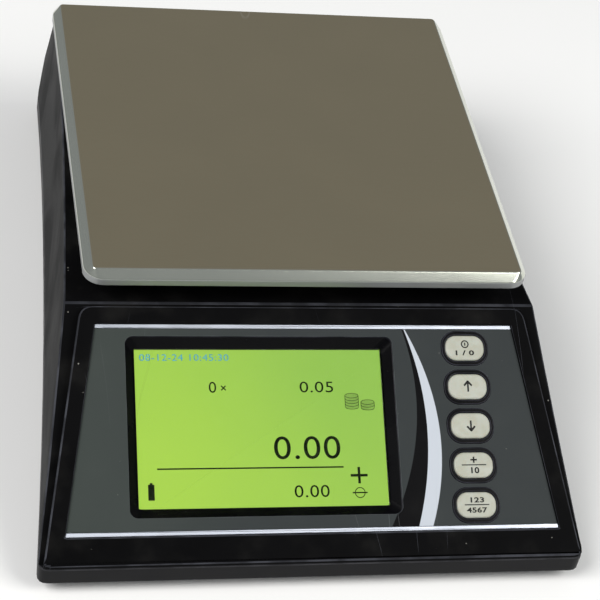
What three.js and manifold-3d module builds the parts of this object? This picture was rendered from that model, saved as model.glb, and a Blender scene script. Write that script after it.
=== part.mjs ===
// Counting scale: pan on a single-point load cell, sloping front panel with display and keys.
// Millimetres, +Z up, the front towards -Y. Origin on the floor, under the middle of the base.
import * as THREE from 'three';
import { mergeVertices } from 'three/addons/utils/BufferGeometryUtils.js';
import Module from 'manifold-3d';

const wasm = await Module();
wasm.setup();

// Housing
const BASE_LENGTH = 456;
const FRONT_WIDTH = 333;
const REAR_WIDTH = 275;
const SIDE_SWEEP = 1.6;
const FLOOR_GAP = 9;
const BASE_HEIGHT = 12.6;
const WALL = 3;
const PART_GAP = 0.5;
const FRONT_RADIUS = 7;
const REAR_RADIUS = 12;
const DECK_Z = 103;
const WALL_LEAN = 6;
const REAR_TOP_SETBACK = 26;
const FIT = 0.3;

// Sloping panel; its own axes are u across, v up the slope, w out of the face
const PANEL_TILT = 31;
const PANEL_INSET = 3;
const PANEL_Z = 26.1;
const SHOULDER_WIDTH = 3.6;
const PANEL_TAPER = 0.16;
const SURROUND_RISE = 1.5;
const SHOULDER_DROP = 5;
const SURROUND_BORDER = 10.4;
const SURROUND_TOP = 11.1;
const OVERLAY_START = 13.4;
const OVERLAY_THICK = 1;
const BAR_WIDTH = 2.5;
const BAR_GAP = 0.2;

// Display
const LIT_WIDTH = 153;
const LIT_HEIGHT = 97;
const BEZEL_SIDE = 6.25;
const BEZEL_END = 6.5;
const OPENING_RADIUS = 5;
const DISPLAY_U = -29.7;
const DISPLAY_BELOW = 7.6;
const DISPLAY_ABOVE = 4.5;
const DISPLAY_DEPTH = 7;
const FRAME_FLANGE = 3.5;
const WINDOW_THICK = 2;
const MODULE_THICK = 8;

// Keys
const KEY_WIDTH = 24.8;
const KEY_HEIGHT = 15.8;
const RING_SIDE = 2.5;
const RING_END = 3.05;
const RING_SPACE = 2.6;
const KEY_U = 99.1;
const KEY_BELOW = 1.15;
const KEY_ABOVE = 1.05;
const KEY_NAMES = ['key_view', 'key_add', 'key_down', 'key_up', 'key_power'];
const KEY_RISE = 1.6;
const KEY_TRAVEL = 0.8;
const RING_RISE = 0.8;
const KEY_CLEAR = 0.4;
const KEY_ROUNDING = 0.44;
const KEY_SEGMENTS = 6;

// Weighing pan and what carries it
const PAN_WIDTH = 276;
const PAN_DEPTH = 276;
const PAN_SKIRT = 9.4;
const PAN_HEM = 4.6;
const PAN_SLOPE = 5;
const PAN_RADIUS = 12;
const PAN_SHEET = 1.5;
const PAN_FROM_REAR = 186;
const PAN_RISE = 12;
const FRAME_THICK = 8;
const FRAME_CLEAR = 9;
const CUSHION_SPREAD = 100;
const CUSHION_RADIUS = 9;
const CELL_LENGTH = 150;
const CELL_WIDTH = 40;
const CELL_HEIGHT = 22;
const CELL_Z = 34;
const CELL_END = 20;
const CELL_TRAVEL = 0.6;

// Feet and fasteners
const FOOT_FROM_FRONT = 52;
const FOOT_FRONT_INSET = 27.4;
const FOOT_FROM_REAR = 42;
const FOOT_REAR_INSET = 26.1;
const FOOT_RADIUS = 13;
const STUD_RADIUS = 4;
const PAD_HEIGHT = 3.6;
const BOLT_RADIUS = 3;
const CASE_SCREW_RADIUS = 2;

const BASE_FRONT = -BASE_LENGTH / 2;
const BASE_REAR = BASE_LENGTH / 2;
const BASE_TOP = FLOOR_GAP + BASE_HEIGHT;
const FLOOR_Z = FLOOR_GAP + WALL;
const COVER_Z = BASE_TOP + PART_GAP;
const TILT = THREE.MathUtils.degToRad(PANEL_TILT);
const PANEL_Y = BASE_FRONT + PANEL_INSET;
const SHOULDER_W = SURROUND_RISE - SHOULDER_DROP;

const OPENING_WIDTH = LIT_WIDTH + BEZEL_SIDE * 2;
const OPENING_HEIGHT = LIT_HEIGHT + BEZEL_END * 2;
const RING_WIDTH = KEY_WIDTH + RING_SIDE * 2;
const RING_HEIGHT = KEY_HEIGHT + RING_END * 2;
const KEY_PITCH = RING_HEIGHT + RING_SPACE;
const SHEET_START = OVERLAY_START + BAR_WIDTH + BAR_GAP;
const KEYS_LENGTH = KEY_BELOW + KEY_PITCH * 4 + RING_HEIGHT + KEY_ABOVE;
const SHEET_LENGTH = Math.max(KEYS_LENGTH, DISPLAY_BELOW + OPENING_HEIGHT + DISPLAY_ABOVE);
const OVERLAY_END = SHEET_START + SHEET_LENGTH + BAR_GAP + BAR_WIDTH;
const SURROUND_HALF = FRONT_WIDTH / 2 - SHOULDER_WIDTH;
const SURROUND_LENGTH = OVERLAY_END + SURROUND_TOP;
const OVERLAY_HALF = SURROUND_HALF - SURROUND_BORDER;
const DISPLAY_V = SHEET_START + DISPLAY_BELOW + OPENING_HEIGHT / 2;
const KEY_V = SHEET_START + KEY_BELOW + RING_HEIGHT / 2;

const PAN_Y = BASE_REAR - PAN_FROM_REAR;
const FRAME_TOP_Z = DECK_Z + FRAME_CLEAR + FRAME_THICK;
const PAN_TOP_Z = FRAME_TOP_Z + PAN_RISE;

// ---- helpers ----

function solidOf(geometry) {
  const bare = geometry.clone();
  bare.deleteAttribute('normal');
  bare.deleteAttribute('uv');
  const merged = mergeVertices(bare, 1e-4);
  const vertProperties = new Float32Array(merged.attributes.position.array);
  const triVerts = new Uint32Array(merged.index.array);
  const mesh = new wasm.Mesh({ numProp: 3, vertProperties, triVerts });
  mesh.merge();
  return new wasm.Manifold(mesh);
}

function geometryOf(solid) {
  const mesh = solid.getMesh();
  const geometry = new THREE.BufferGeometry();
  geometry.setAttribute('position', new THREE.BufferAttribute(new Float32Array(mesh.vertProperties), 3));
  geometry.setIndex(new THREE.BufferAttribute(new Uint32Array(mesh.triVerts), 1));
  return geometry;
}

function box(x0, x1, y0, y1, z0, z1) {
  const geometry = new THREE.BoxGeometry(x1 - x0, y1 - y0, z1 - z0);
  return geometry.translate((x0 + x1) / 2, (y0 + y1) / 2, (z0 + z1) / 2);
}

function post(x, y, z0, z1, radius, segments = 16) {
  const geometry = new THREE.CylinderGeometry(radius, radius, z1 - z0, segments);
  return geometry.rotateX(Math.PI / 2).translate(x, y, (z0 + z1) / 2);
}

function turned(points, segments = 20) {
  const profile = points.map(([radius, z]) => new THREE.Vector2(radius, z));
  return new THREE.LatheGeometry(profile, segments).rotateX(Math.PI / 2);
}

function slab(shape, z0, z1, curveSegments = 5) {
  const geometry = new THREE.ExtrudeGeometry(shape, { depth: z1 - z0, bevelEnabled: false, curveSegments });
  return geometry.translate(0, 0, z0);
}

// A side view in (y, z), drawn out along X
function sideSlab(shape, x0, x1, curveSegments = 6) {
  const geometry = slab(shape, x0, x1, curveSegments);
  const basis = new THREE.Matrix4().makeBasis(
    new THREE.Vector3(0, 1, 0),
    new THREE.Vector3(0, 0, 1),
    new THREE.Vector3(1, 0, 0),
  );
  return geometry.applyMatrix4(basis);
}

function onPanel(geometry) {
  return geometry.rotateX(TILT).translate(0, PANEL_Y, PANEL_Z);
}

function polygon(points) {
  return new THREE.Shape(points.map(([x, y]) => new THREE.Vector2(x, y)));
}

function roundedRect(width, height, radius, cx = 0, cy = 0, Type = THREE.Shape) {
  const x = width / 2;
  const y = height / 2;
  const shape = new Type();
  shape.moveTo(cx - x + radius, cy - y);
  shape.lineTo(cx + x - radius, cy - y);
  shape.absarc(cx + x - radius, cy - y + radius, radius, -Math.PI / 2, 0, false);
  shape.lineTo(cx + x, cy + y - radius);
  shape.absarc(cx + x - radius, cy + y - radius, radius, 0, Math.PI / 2, false);
  shape.lineTo(cx - x + radius, cy + y);
  shape.absarc(cx - x + radius, cy + y - radius, radius, Math.PI / 2, Math.PI, false);
  shape.lineTo(cx - x, cy - y + radius);
  shape.absarc(cx - x + radius, cy - y + radius, radius, Math.PI, Math.PI * 1.5, false);
  return shape;
}

// Key and rim outlines: boxes with nearly half-round ends, grown all round
function keyShape(i, grow, Type) {
  const height = KEY_HEIGHT + grow * 2;
  return roundedRect(KEY_WIDTH + grow * 2, height, height * KEY_ROUNDING, KEY_U, keyCentre(i), Type);
}

function rimShape(i, grow, Type) {
  const height = RING_HEIGHT + grow * 2;
  return roundedRect(RING_WIDTH + grow * 2, height, height * KEY_ROUNDING, KEY_U, keyCentre(i), Type);
}

// Trapezoid on the panel, narrowing up the slope
function taperedPlate(halfAtZero, v0, v1, radius) {
  const a = halfAtZero - PANEL_TAPER * v0;
  const b = halfAtZero - PANEL_TAPER * v1;
  const cut = radius * PANEL_TAPER;
  const shape = new THREE.Shape();
  shape.moveTo(-a + radius, v0);
  shape.lineTo(a - radius, v0);
  shape.quadraticCurveTo(a, v0, a - cut, v0 + radius);
  shape.lineTo(b + cut, v1 - radius);
  shape.quadraticCurveTo(b, v1, b - radius, v1);
  shape.lineTo(-b + radius, v1);
  shape.quadraticCurveTo(-b, v1, -b - cut, v1 - radius);
  shape.lineTo(-a + cut, v0 + radius);
  shape.quadraticCurveTo(-a, v0, -a + radius, v0);
  return shape;
}

function join(...geometries) {
  return geometries.map(solidOf).reduce((sum, next) => sum.add(next));
}

function cut(solid, ...geometries) {
  return geometries.map(solidOf).reduce((left, tool) => left.subtract(tool), solid);
}

const group = new THREE.Group();
group.name = 'counting_scale';

function add(name, geometry, color, roughness, metalness) {
  const plain = geometry.isBufferGeometry ? geometry : geometryOf(geometry);
  const material = new THREE.MeshStandardMaterial({ color, roughness, metalness });
  const mesh = new THREE.Mesh(plain, material);
  mesh.name = name;
  group.add(mesh);
}

// ---- housing outline ----

function halfWidthAt(y) {
  const back = THREE.MathUtils.clamp((y - BASE_FRONT) / BASE_LENGTH, 0, 1);
  return REAR_WIDTH / 2 + ((FRONT_WIDTH - REAR_WIDTH) / 2) * (1 - back) ** SIDE_SWEEP;
}

// Plan of the housing, drawn in by an even amount
function planOutline(inset) {
  const front = BASE_FRONT + inset;
  const rear = BASE_REAR - inset;
  const frontRadius = FRONT_RADIUS - inset / 2;
  const rearRadius = REAR_RADIUS - inset / 2;
  const stations = 9;
  const side = [];
  for (let i = 0; i <= stations; i += 1) {
    const y = THREE.MathUtils.lerp(front + frontRadius, rear - rearRadius, i / stations);
    side.push([halfWidthAt(y) - inset, y]);
  }
  const frontHalf = halfWidthAt(front) - inset;
  const rearHalf = halfWidthAt(rear) - inset;
  const shape = new THREE.Shape();
  shape.moveTo(-frontHalf + frontRadius, front);
  shape.lineTo(frontHalf - frontRadius, front);
  shape.quadraticCurveTo(frontHalf, front, side[0][0], side[0][1]);
  side.slice(1).forEach(([x, y]) => shape.lineTo(x, y));
  shape.quadraticCurveTo(rearHalf, rear, rearHalf - rearRadius, rear);
  shape.lineTo(-rearHalf + rearRadius, rear);
  shape.quadraticCurveTo(-rearHalf, rear, -side[stations][0], side[stations][1]);
  side.slice(0, -1).reverse().forEach(([x, y]) => shape.lineTo(-x, y));
  shape.quadraticCurveTo(-frontHalf, front, -frontHalf + frontRadius, front);
  return shape;
}

// Upright walls drawn in towards the top
function leaningBlock(inset, z0, z1) {
  const geometry = slab(planOutline(inset), z0, z1, 4);
  const position = geometry.attributes.position;
  const rise = DECK_Z - COVER_Z;
  for (let i = 0; i < position.count; i += 1) {
    const share = position.getX(i) / halfWidthAt(position.getY(i));
    const lean = (WALL_LEAN * (position.getZ(i) - COVER_Z)) / rise;
    position.setX(i, position.getX(i) - share * lean);
  }
  return geometry;
}

function panelHeightAt(y, w) {
  return PANEL_Z + (y - PANEL_Y) * Math.tan(TILT) + w / Math.cos(TILT);
}

function panelReach(z, w) {
  return PANEL_Y + (z - PANEL_Z - w / Math.cos(TILT)) / Math.tan(TILT);
}

// Side view of the cover under its raised panel surround
function coverProfile(inset, z0) {
  const rearLean = REAR_TOP_SETBACK / (DECK_Z - COVER_Z);
  const deck = DECK_Z - inset;
  const w = SHOULDER_W - inset;
  const rear = BASE_REAR - inset * 1.05;
  return polygon([
    [panelReach(z0, w), z0],
    [rear - rearLean * (z0 - COVER_Z), z0],
    [rear - rearLean * (deck - COVER_Z), deck],
    [panelReach(deck, w), deck],
  ]);
}

// Side view of the raised surround, with the front edge eased
function surroundProfile() {
  const ease = 3.5;
  const frontTop = panelHeightAt(BASE_FRONT, SURROUND_RISE);
  const endY = PANEL_Y + SURROUND_LENGTH * Math.cos(TILT) - SURROUND_RISE * Math.sin(TILT);
  const endZ = panelHeightAt(endY, SURROUND_RISE);
  return polygon([
    [BASE_FRONT - 1, COVER_Z],
    [endY, COVER_Z],
    [endY, endZ],
    [BASE_FRONT + ease, panelHeightAt(BASE_FRONT + ease, SURROUND_RISE)],
    [BASE_FRONT + 1, frontTop + 0.2],
    [BASE_FRONT, frontTop - 1.2],
    [BASE_FRONT - 1, frontTop - 1.2],
  ]);
}

// Rows of case screws: place along the base, and distance in from the side
const screwRows = [
  [BASE_FRONT + 22, 18.2],
  [20, 11.8],
  [BASE_REAR - 22, 15.7],
];
const caseScrews = screwRows.flatMap(([y, fromSide]) => [
  [fromSide - halfWidthAt(y), y],
  [halfWidthAt(y) - fromSide, y],
]);

const FOOT_FRONT_Y = BASE_FRONT + FOOT_FROM_FRONT;
const FOOT_FRONT_X = halfWidthAt(FOOT_FRONT_Y) - FOOT_FRONT_INSET;
const FOOT_REAR_Y = BASE_REAR - FOOT_FROM_REAR;
const FOOT_REAR_X = halfWidthAt(FOOT_REAR_Y) - FOOT_REAR_INSET;
const feet = [
  ['front_left', -FOOT_FRONT_X, FOOT_FRONT_Y],
  ['front_right', FOOT_FRONT_X, FOOT_FRONT_Y],
  ['rear_left', -FOOT_REAR_X, FOOT_REAR_Y],
  ['rear_right', FOOT_REAR_X, FOOT_REAR_Y],
];

// ---- lower housing ----

const BATTERY_X = 52;
const BATTERY_THICK = 47;
const BATTERY_TALL = 70;
const BATTERY_FROM_REAR = 55;
const DOOR_MARGIN = 8;
const DOOR_THICK = 2.2;
const BATTERY_Y1 = BASE_REAR - BATTERY_FROM_REAR;
const BATTERY_Y0 = BATTERY_Y1 - BATTERY_THICK;
const DOOR_SCREW_Y = BATTERY_Y1 + DOOR_MARGIN + 8;

function baseShell() {
  const outer = solidOf(slab(planOutline(0), FLOOR_GAP, BASE_TOP, 4));
  let shell = cut(outer, slab(planOutline(WALL), FLOOR_Z, BASE_TOP + 1, 4));
  caseScrews.forEach(([x, y]) => {
    shell = shell.add(solidOf(post(x, y, FLOOR_Z - 1, BASE_TOP, 6.5)));
  });
  feet.forEach(([, x, y]) => {
    shell = shell.add(solidOf(post(x, y, FLOOR_Z - 1, BASE_TOP, 8)));
  });
  shell = shell.add(solidOf(box(-10, 10, DOOR_SCREW_Y - 5, DOOR_SCREW_Y + 7, FLOOR_Z - 1, FLOOR_Z + 4)));
  caseScrews.forEach(([x, y]) => {
    shell = cut(shell, post(x, y, 0, BASE_TOP + 1, CASE_SCREW_RADIUS + FIT, 12));
    shell = cut(shell, post(x, y, 0, FLOOR_GAP + 5, CASE_SCREW_RADIUS * 2 + FIT));
  });
  feet.forEach(([, x, y]) => {
    shell = cut(shell, post(x, y, 0, BASE_TOP + 1, STUD_RADIUS + 0.2));
  });
  const doorX = BATTERY_X + DOOR_MARGIN;
  const doorY0 = BATTERY_Y0 - DOOR_MARGIN;
  const doorY1 = DOOR_SCREW_Y + 8;
  shell = cut(
    shell,
    box(-doorX, doorX, doorY0, doorY1, 0, FLOOR_GAP + DOOR_THICK + 0.2),
    box(-BATTERY_X - 2, BATTERY_X + 2, BATTERY_Y0 - 2, BATTERY_Y1 + 2, 0, FLOOR_Z + 1),
    post(0, DOOR_SCREW_Y, 0, FLOOR_Z + 5, CASE_SCREW_RADIUS + FIT, 12),
  );
  return shell;
}

add('base_shell', baseShell(), 0x1b1c1e, 0.45, 0);

function batteryDoor() {
  const doorX = BATTERY_X + DOOR_MARGIN - FIT;
  const plate = box(
    -doorX,
    doorX,
    BATTERY_Y0 - DOOR_MARGIN + FIT,
    DOOR_SCREW_Y + 8 - FIT,
    FLOOR_GAP,
    FLOOR_GAP + DOOR_THICK,
  );
  const grip = box(-22, 22, BATTERY_Y0 + 6, BATTERY_Y0 + 12, FLOOR_GAP - 1, FLOOR_GAP + 0.8);
  return cut(solidOf(plate), grip, post(0, DOOR_SCREW_Y, 0, FLOOR_Z + 5, CASE_SCREW_RADIUS + FIT, 12));
}

add('battery_door', batteryDoor(), 0x1b1c1e, 0.5, 0);

// Pan-head screw, head down, standing on (x, y) from z
function screw(x, y, z, length, radius) {
  const head = radius * 1.05;
  const body = turned([
    [0, 0],
    [radius * 1.5, 0],
    [radius * 1.9, head * 0.5],
    [radius * 1.9, head],
    [radius, head],
    [radius, head + length - radius],
    [0, head + length],
  ], 12);
  const slotA = box(-radius * 1.1, radius * 1.1, -radius * 0.22, radius * 0.22, -1, head * 0.45);
  const slotB = box(-radius * 0.22, radius * 0.22, -radius * 1.1, radius * 1.1, -1, head * 0.45);
  return cut(solidOf(body), slotA, slotB).translate([x, y, z]);
}

caseScrews.forEach(([x, y], i) => {
  const seat = FLOOR_GAP + 5 - CASE_SCREW_RADIUS * 1.05 - 0.1;
  add(`case_screw_${i + 1}`, screw(x, y, seat, 16, CASE_SCREW_RADIUS), 0x9a9ca0, 0.35, 1);
});
add(
  'battery_door_screw',
  screw(0, DOOR_SCREW_Y, FLOOR_GAP - CASE_SCREW_RADIUS * 1.05 - 0.1, 6, CASE_SCREW_RADIUS),
  0x9a9ca0,
  0.35,
  1,
);

// ---- levelling feet: rubber sole under a knurled disc on a threaded stud ----

function footStud(x, y) {
  const z = PAD_HEIGHT - 0.8;
  const top = BASE_TOP - 1;
  const body = turned([
    [0, z],
    [FOOT_RADIUS - 3, z],
    [FOOT_RADIUS - 3, PAD_HEIGHT + 0.1],
    [FOOT_RADIUS, PAD_HEIGHT + 0.1],
    [FOOT_RADIUS, PAD_HEIGHT + 3.2],
    [FOOT_RADIUS - 2, PAD_HEIGHT + 4],
    [STUD_RADIUS, PAD_HEIGHT + 4],
    [STUD_RADIUS, top - 0.8],
    [STUD_RADIUS - 0.8, top],
    [0, top],
  ], 18);
  return body.translate(x, y, 0);
}

function footPad(x, y) {
  const recess = FOOT_RADIUS - 3 + 0.15;
  const body = turned([
    [0, 0.6],
    [FOOT_RADIUS - 8, 0.6],
    [FOOT_RADIUS - 7, 0],
    [FOOT_RADIUS - 1.5, 0],
    [FOOT_RADIUS - 0.5, 1],
    [FOOT_RADIUS - 0.5, PAD_HEIGHT],
    [recess, PAD_HEIGHT],
    [recess, PAD_HEIGHT - 1],
    [0, PAD_HEIGHT - 1],
  ], 18);
  return body.translate(x, y, 0);
}

feet.forEach(([corner, x, y]) => {
  add(`foot_stud_${corner}`, footStud(x, y), 0x2a2b2d, 0.5, 0);
  add(`foot_pad_${corner}`, footPad(x, y), 0x111111, 0.9, 0);
});

// ---- upper cover ----

const RISER_HALF_X = 18;
const RISER_Y0 = PAN_Y + CELL_LENGTH / 2 - 2 * CELL_END + 3;
const RISER_Y1 = PAN_Y + CELL_LENGTH / 2 - 3;
const RISER_Y = (RISER_Y0 + RISER_Y1) / 2;
const PORT_X = 44;
const PORT_Z0 = 31;
const PORT_Z1 = 57;
const PORT_Y = BASE_REAR - 22;
const LEVEL_Y = BASE_REAR - 38;
const LEVEL_RADIUS = 8;
const KEY_CENTRE_V = KEY_V + KEY_PITCH * 2;
const KEYPAD_WIDTH = RING_WIDTH + 9;
const KEYPAD_LENGTH = KEY_PITCH * 4 + RING_HEIGHT + 6;
const PLATE_TOP_W = -OVERLAY_THICK - 0.2;
const PLATE_W = -3.4;

function displayShape(extra, radius, Type) {
  const width = OPENING_WIDTH + extra * 2;
  const height = OPENING_HEIGHT + extra * 2;
  return roundedRect(width, height, radius, DISPLAY_U, DISPLAY_V, Type);
}

function keypadShape(extra) {
  return roundedRect(KEYPAD_WIDTH + extra * 2, KEYPAD_LENGTH + extra * 2, 3, KEY_U, KEY_CENTRE_V);
}

function topCover() {
  const block = solidOf(leaningBlock(0, COVER_Z, DECK_Z + 20));
  const body = block.intersect(solidOf(sideSlab(coverProfile(0, COVER_Z), -200, 200)));
  const plate = solidOf(onPanel(slab(taperedPlate(SURROUND_HALF, -14, SURROUND_LENGTH, 8), -14, 8)));
  const raised = solidOf(sideSlab(surroundProfile(), -200, 200)).intersect(plate).intersect(block);
  const hollow = solidOf(leaningBlock(WALL, COVER_Z - 2, DECK_Z + 20))
    .intersect(solidOf(sideSlab(coverProfile(WALL, COVER_Z - 2), -200, 200)));
  let cover = body.add(raised).subtract(hollow);
  const sleeve = box(-PORT_X - WALL, PORT_X + WALL, PORT_Y, BASE_REAR, PORT_Z0 - WALL, PORT_Z1 + WALL);
  cover = cover.add(body.intersect(solidOf(sleeve)));
  caseScrews.forEach(([x, y]) => {
    cover = cover.add(body.intersect(solidOf(post(x, y, COVER_Z, DECK_Z, 5.5))));
  });
  caseScrews.forEach(([x, y]) => {
    cover = cut(cover, post(x, y, 0, FLOOR_GAP + 23, CASE_SCREW_RADIUS + FIT, 12));
  });
  const overlayHole = taperedPlate(OVERLAY_HALF + FIT, OVERLAY_START - FIT, OVERLAY_END + FIT, 1.2);
  return cut(
    cover,
    onPanel(slab(overlayHole, PLATE_TOP_W + 0.1, 6, 2)),
    onPanel(slab(displayShape(FRAME_FLANGE + FIT, OPENING_RADIUS + 2), PLATE_W - 0.1, 6)),
    onPanel(slab(displayShape(0.6, OPENING_RADIUS), -30, 6)),
    onPanel(slab(keypadShape(FIT), PLATE_W - 0.1, 6)),
    onPanel(slab(keypadShape(-3), -30, 6)),
    box(-RISER_HALF_X - 5, RISER_HALF_X + 5, RISER_Y0 - 5, RISER_Y1 + 5, DECK_Z - 10, DECK_Z + 1),
    box(-PORT_X, PORT_X, PORT_Y - 20, BASE_REAR + 5, PORT_Z0, PORT_Z1),
    post(0, LEVEL_Y, DECK_Z - 10, DECK_Z + 1, LEVEL_RADIUS + FIT, 20),
  );
}

add('top_cover', topCover(), 0x141517, 0.35, 0);

// ---- front panel ----

function keyCentre(i) {
  return KEY_V + KEY_PITCH * i;
}

function frontOverlay() {
  const shape = taperedPlate(OVERLAY_HALF, SHEET_START, SHEET_START + SHEET_LENGTH, 0.2);
  shape.holes.push(displayShape(0, OPENING_RADIUS, THREE.Path));
  KEY_NAMES.forEach((_, i) => {
    shape.holes.push(rimShape(i, 0.25, THREE.Path));
  });
  return onPanel(slab(shape, -OVERLAY_THICK, 0, KEY_SEGMENTS));
}

add('front_overlay', frontOverlay(), 0x3c4040, 0.5, 0);

function trimBar(v0) {
  const shape = taperedPlate(OVERLAY_HALF, v0, v0 + BAR_WIDTH, 0.3);
  return onPanel(slab(shape, -OVERLAY_THICK, 0.4, 1));
}

add('trim_bar_lower', trimBar(OVERLAY_START), 0xd8dada, 0.3, 0.6);
add('trim_bar_upper', trimBar(OVERLAY_END - BAR_WIDTH), 0xd8dada, 0.3, 0.6);

// Black frame with walls sloping in to the lit area
function displayFrame() {
  const flange = slab(displayShape(FRAME_FLANGE, OPENING_RADIUS + 2), PLATE_W, PLATE_TOP_W, 4);
  const walls = slab(displayShape(0.1, OPENING_RADIUS), -DISPLAY_DEPTH, PLATE_TOP_W - 0.5, 4);
  const funnel = slab(displayShape(0, OPENING_RADIUS), -DISPLAY_DEPTH, PLATE_TOP_W + 0.1, 4);
  const position = funnel.attributes.position;
  const shrinkU = (LIT_WIDTH - 2) / (OPENING_WIDTH - 2);
  const shrinkV = (LIT_HEIGHT - 2) / (OPENING_HEIGHT - 2);
  for (let i = 0; i < position.count; i += 1) {
    if (position.getZ(i) < -DISPLAY_DEPTH + 0.1) {
      position.setX(i, DISPLAY_U + (position.getX(i) - DISPLAY_U) * shrinkU);
      position.setY(i, DISPLAY_V + (position.getY(i) - DISPLAY_V) * shrinkV);
    }
  }
  const frame = join(flange, walls);
  const window = slab(roundedRect(LIT_WIDTH, LIT_HEIGHT, 0.5, DISPLAY_U, DISPLAY_V), -30, 0, 1);
  return geometryOf(cut(frame, funnel, window));
}

add('display_frame', onPanel(displayFrame()), 0x0b0b0c, 0.4, 0);

function displaySlab(marginU, marginV, w0, w1) {
  const width = LIT_WIDTH + marginU * 2;
  const height = LIT_HEIGHT + marginV * 2;
  return onPanel(slab(roundedRect(width, height, 1, DISPLAY_U, DISPLAY_V), w0, w1, 2));
}

const WINDOW_W = -DISPLAY_DEPTH - 0.2;
const MODULE_W = WINDOW_W - WINDOW_THICK - 0.2;
add('display_window', displaySlab(4, 4, WINDOW_W - WINDOW_THICK, WINDOW_W), 0xdfe8e4, 0.08, 0);
add('display_module', displaySlab(5.5, 5.5, MODULE_W - MODULE_THICK, MODULE_W), 0xa8dc60, 0.4, 0);

// ---- keypad ----

const CAP_BASE_W = PLATE_W - 1.4;
const BOARD_W = CAP_BASE_W - KEY_TRAVEL - 4.2;

// Black bezel: one plate under the overlay with a rim round each key
function keypadFrame() {
  const plate = keypadShape(0);
  KEY_NAMES.forEach((_, i) => {
    plate.holes.push(keyShape(i, KEY_CLEAR, THREE.Path));
  });
  let frame = solidOf(slab(plate, PLATE_W, PLATE_TOP_W, KEY_SEGMENTS));
  KEY_NAMES.forEach((_, i) => {
    const rim = rimShape(i, 0);
    rim.holes.push(keyShape(i, KEY_CLEAR, THREE.Path));
    frame = frame.add(solidOf(slab(rim, PLATE_TOP_W - 0.6, RING_RISE, KEY_SEGMENTS)));
  });
  return geometryOf(frame);
}

add('keypad_frame', onPanel(keypadFrame()), 0x0d0e0f, 0.4, 0);

// Key with a foot that keeps it behind the bezel
function keyCap(i) {
  const cap = slab(keyShape(i, 0), CAP_BASE_W, KEY_RISE, KEY_SEGMENTS);
  const foot = slab(keyShape(i, 1.5), CAP_BASE_W, PLATE_W - 0.3, KEY_SEGMENTS);
  return geometryOf(join(cap, foot));
}

KEY_NAMES.forEach((name, i) => add(name, onPanel(keyCap(i)), 0xdfe0d4, 0.5, 0));

// Circuit board behind the keys with one dome switch each
function keypadBoard() {
  const edge = roundedRect(KEYPAD_WIDTH - 8, KEYPAD_LENGTH - 8, 2, KEY_U, KEY_CENTRE_V);
  let board = solidOf(slab(edge, BOARD_W - 1.6, BOARD_W, 2));
  const top = CAP_BASE_W - KEY_TRAVEL - FIT;
  KEY_NAMES.forEach((_, i) => {
    const dome = new THREE.CylinderGeometry(3.5, 5, top - BOARD_W + 0.5, 14);
    dome.rotateX(Math.PI / 2);
    dome.translate(KEY_U, keyCentre(i), (top + BOARD_W - 0.5) / 2);
    board = board.add(solidOf(dome));
  });
  return geometryOf(board);
}

add('keypad_board', onPanel(keypadBoard()), 0x1f6b3a, 0.6, 0);

// ---- inside: chassis, load cell, electronics ----

const CHASSIS_Z = FLOOR_Z + FIT;
const CHASSIS_TOP = CHASSIS_Z + 3;
const CELL_Y0 = PAN_Y - CELL_LENGTH / 2;
const CELL_Y1 = PAN_Y + CELL_LENGTH / 2;
const FIXED_Y = CELL_Y0 + CELL_END;
const BOLT_OFFSET = 9;
const STOP_Y = CELL_Y1 - CELL_END;
const CHASSIS_REAR = BATTERY_Y0 - DOOR_MARGIN - 6;

function boltHoles(y, z0, z1) {
  return [-BOLT_OFFSET, BOLT_OFFSET].map((x) => post(x, y, z0, z1, BOLT_RADIUS + FIT, 14));
}

function chassis() {
  const plate = box(-112, 112, CELL_Y0 - 32, CHASSIS_REAR, CHASSIS_Z, CHASSIS_TOP);
  const ribs = [-100, 100].map((x) => {
    return box(x - 3, x + 3, CELL_Y0 - 30, CHASSIS_REAR - 2, CHASSIS_Z, CHASSIS_TOP + 9);
  });
  const stopHole = post(0, STOP_Y, 0, CHASSIS_TOP + 1, STUD_RADIUS + FIT, 14);
  return cut(join(plate, ...ribs), ...boltHoles(FIXED_Y, 0, CHASSIS_TOP + 1), stopHole);
}

add('chassis', chassis(), 0xb4b6b8, 0.5, 0.9);

function cellRiser() {
  const block = box(-17, 17, CELL_Y0 + 3, FIXED_Y + 17, CHASSIS_TOP + FIT, CELL_Z - FIT);
  return cut(solidOf(block), ...boltHoles(FIXED_Y, 0, CELL_Z + 1));
}

add('cell_riser', cellRiser(), 0xa9abae, 0.4, 0.9);

// Bar with the double hole that makes its middle bend evenly
function loadCell() {
  const mid = CELL_Z + CELL_HEIGHT / 2;
  const side = polygon([
    [CELL_Y0, CELL_Z],
    [CELL_Y1, CELL_Z],
    [CELL_Y1, CELL_Z + CELL_HEIGHT],
    [CELL_Y0, CELL_Z + CELL_HEIGHT],
  ]);
  const bar = solidOf(sideSlab(side, -CELL_WIDTH / 2, CELL_WIDTH / 2));
  const holes = [-16, 16].map((dy) => {
    const bore = new THREE.CylinderGeometry(8.5, 8.5, CELL_WIDTH + 2, 18);
    return bore.rotateZ(Math.PI / 2).translate(0, PAN_Y + dy, mid);
  });
  const web = box(-CELL_WIDTH, CELL_WIDTH, PAN_Y - 16, PAN_Y + 16, mid - 3, mid + 3);
  const lower = boltHoles(FIXED_Y, 0, CELL_Z + 16);
  const upper = boltHoles(RISER_Y, CELL_Z + 8, CELL_Z + CELL_HEIGHT + 1);
  return cut(bar, ...holes, web, ...lower, ...upper);
}

add('load_cell', loadCell(), 0xc4c6c8, 0.35, 0.95);

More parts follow.
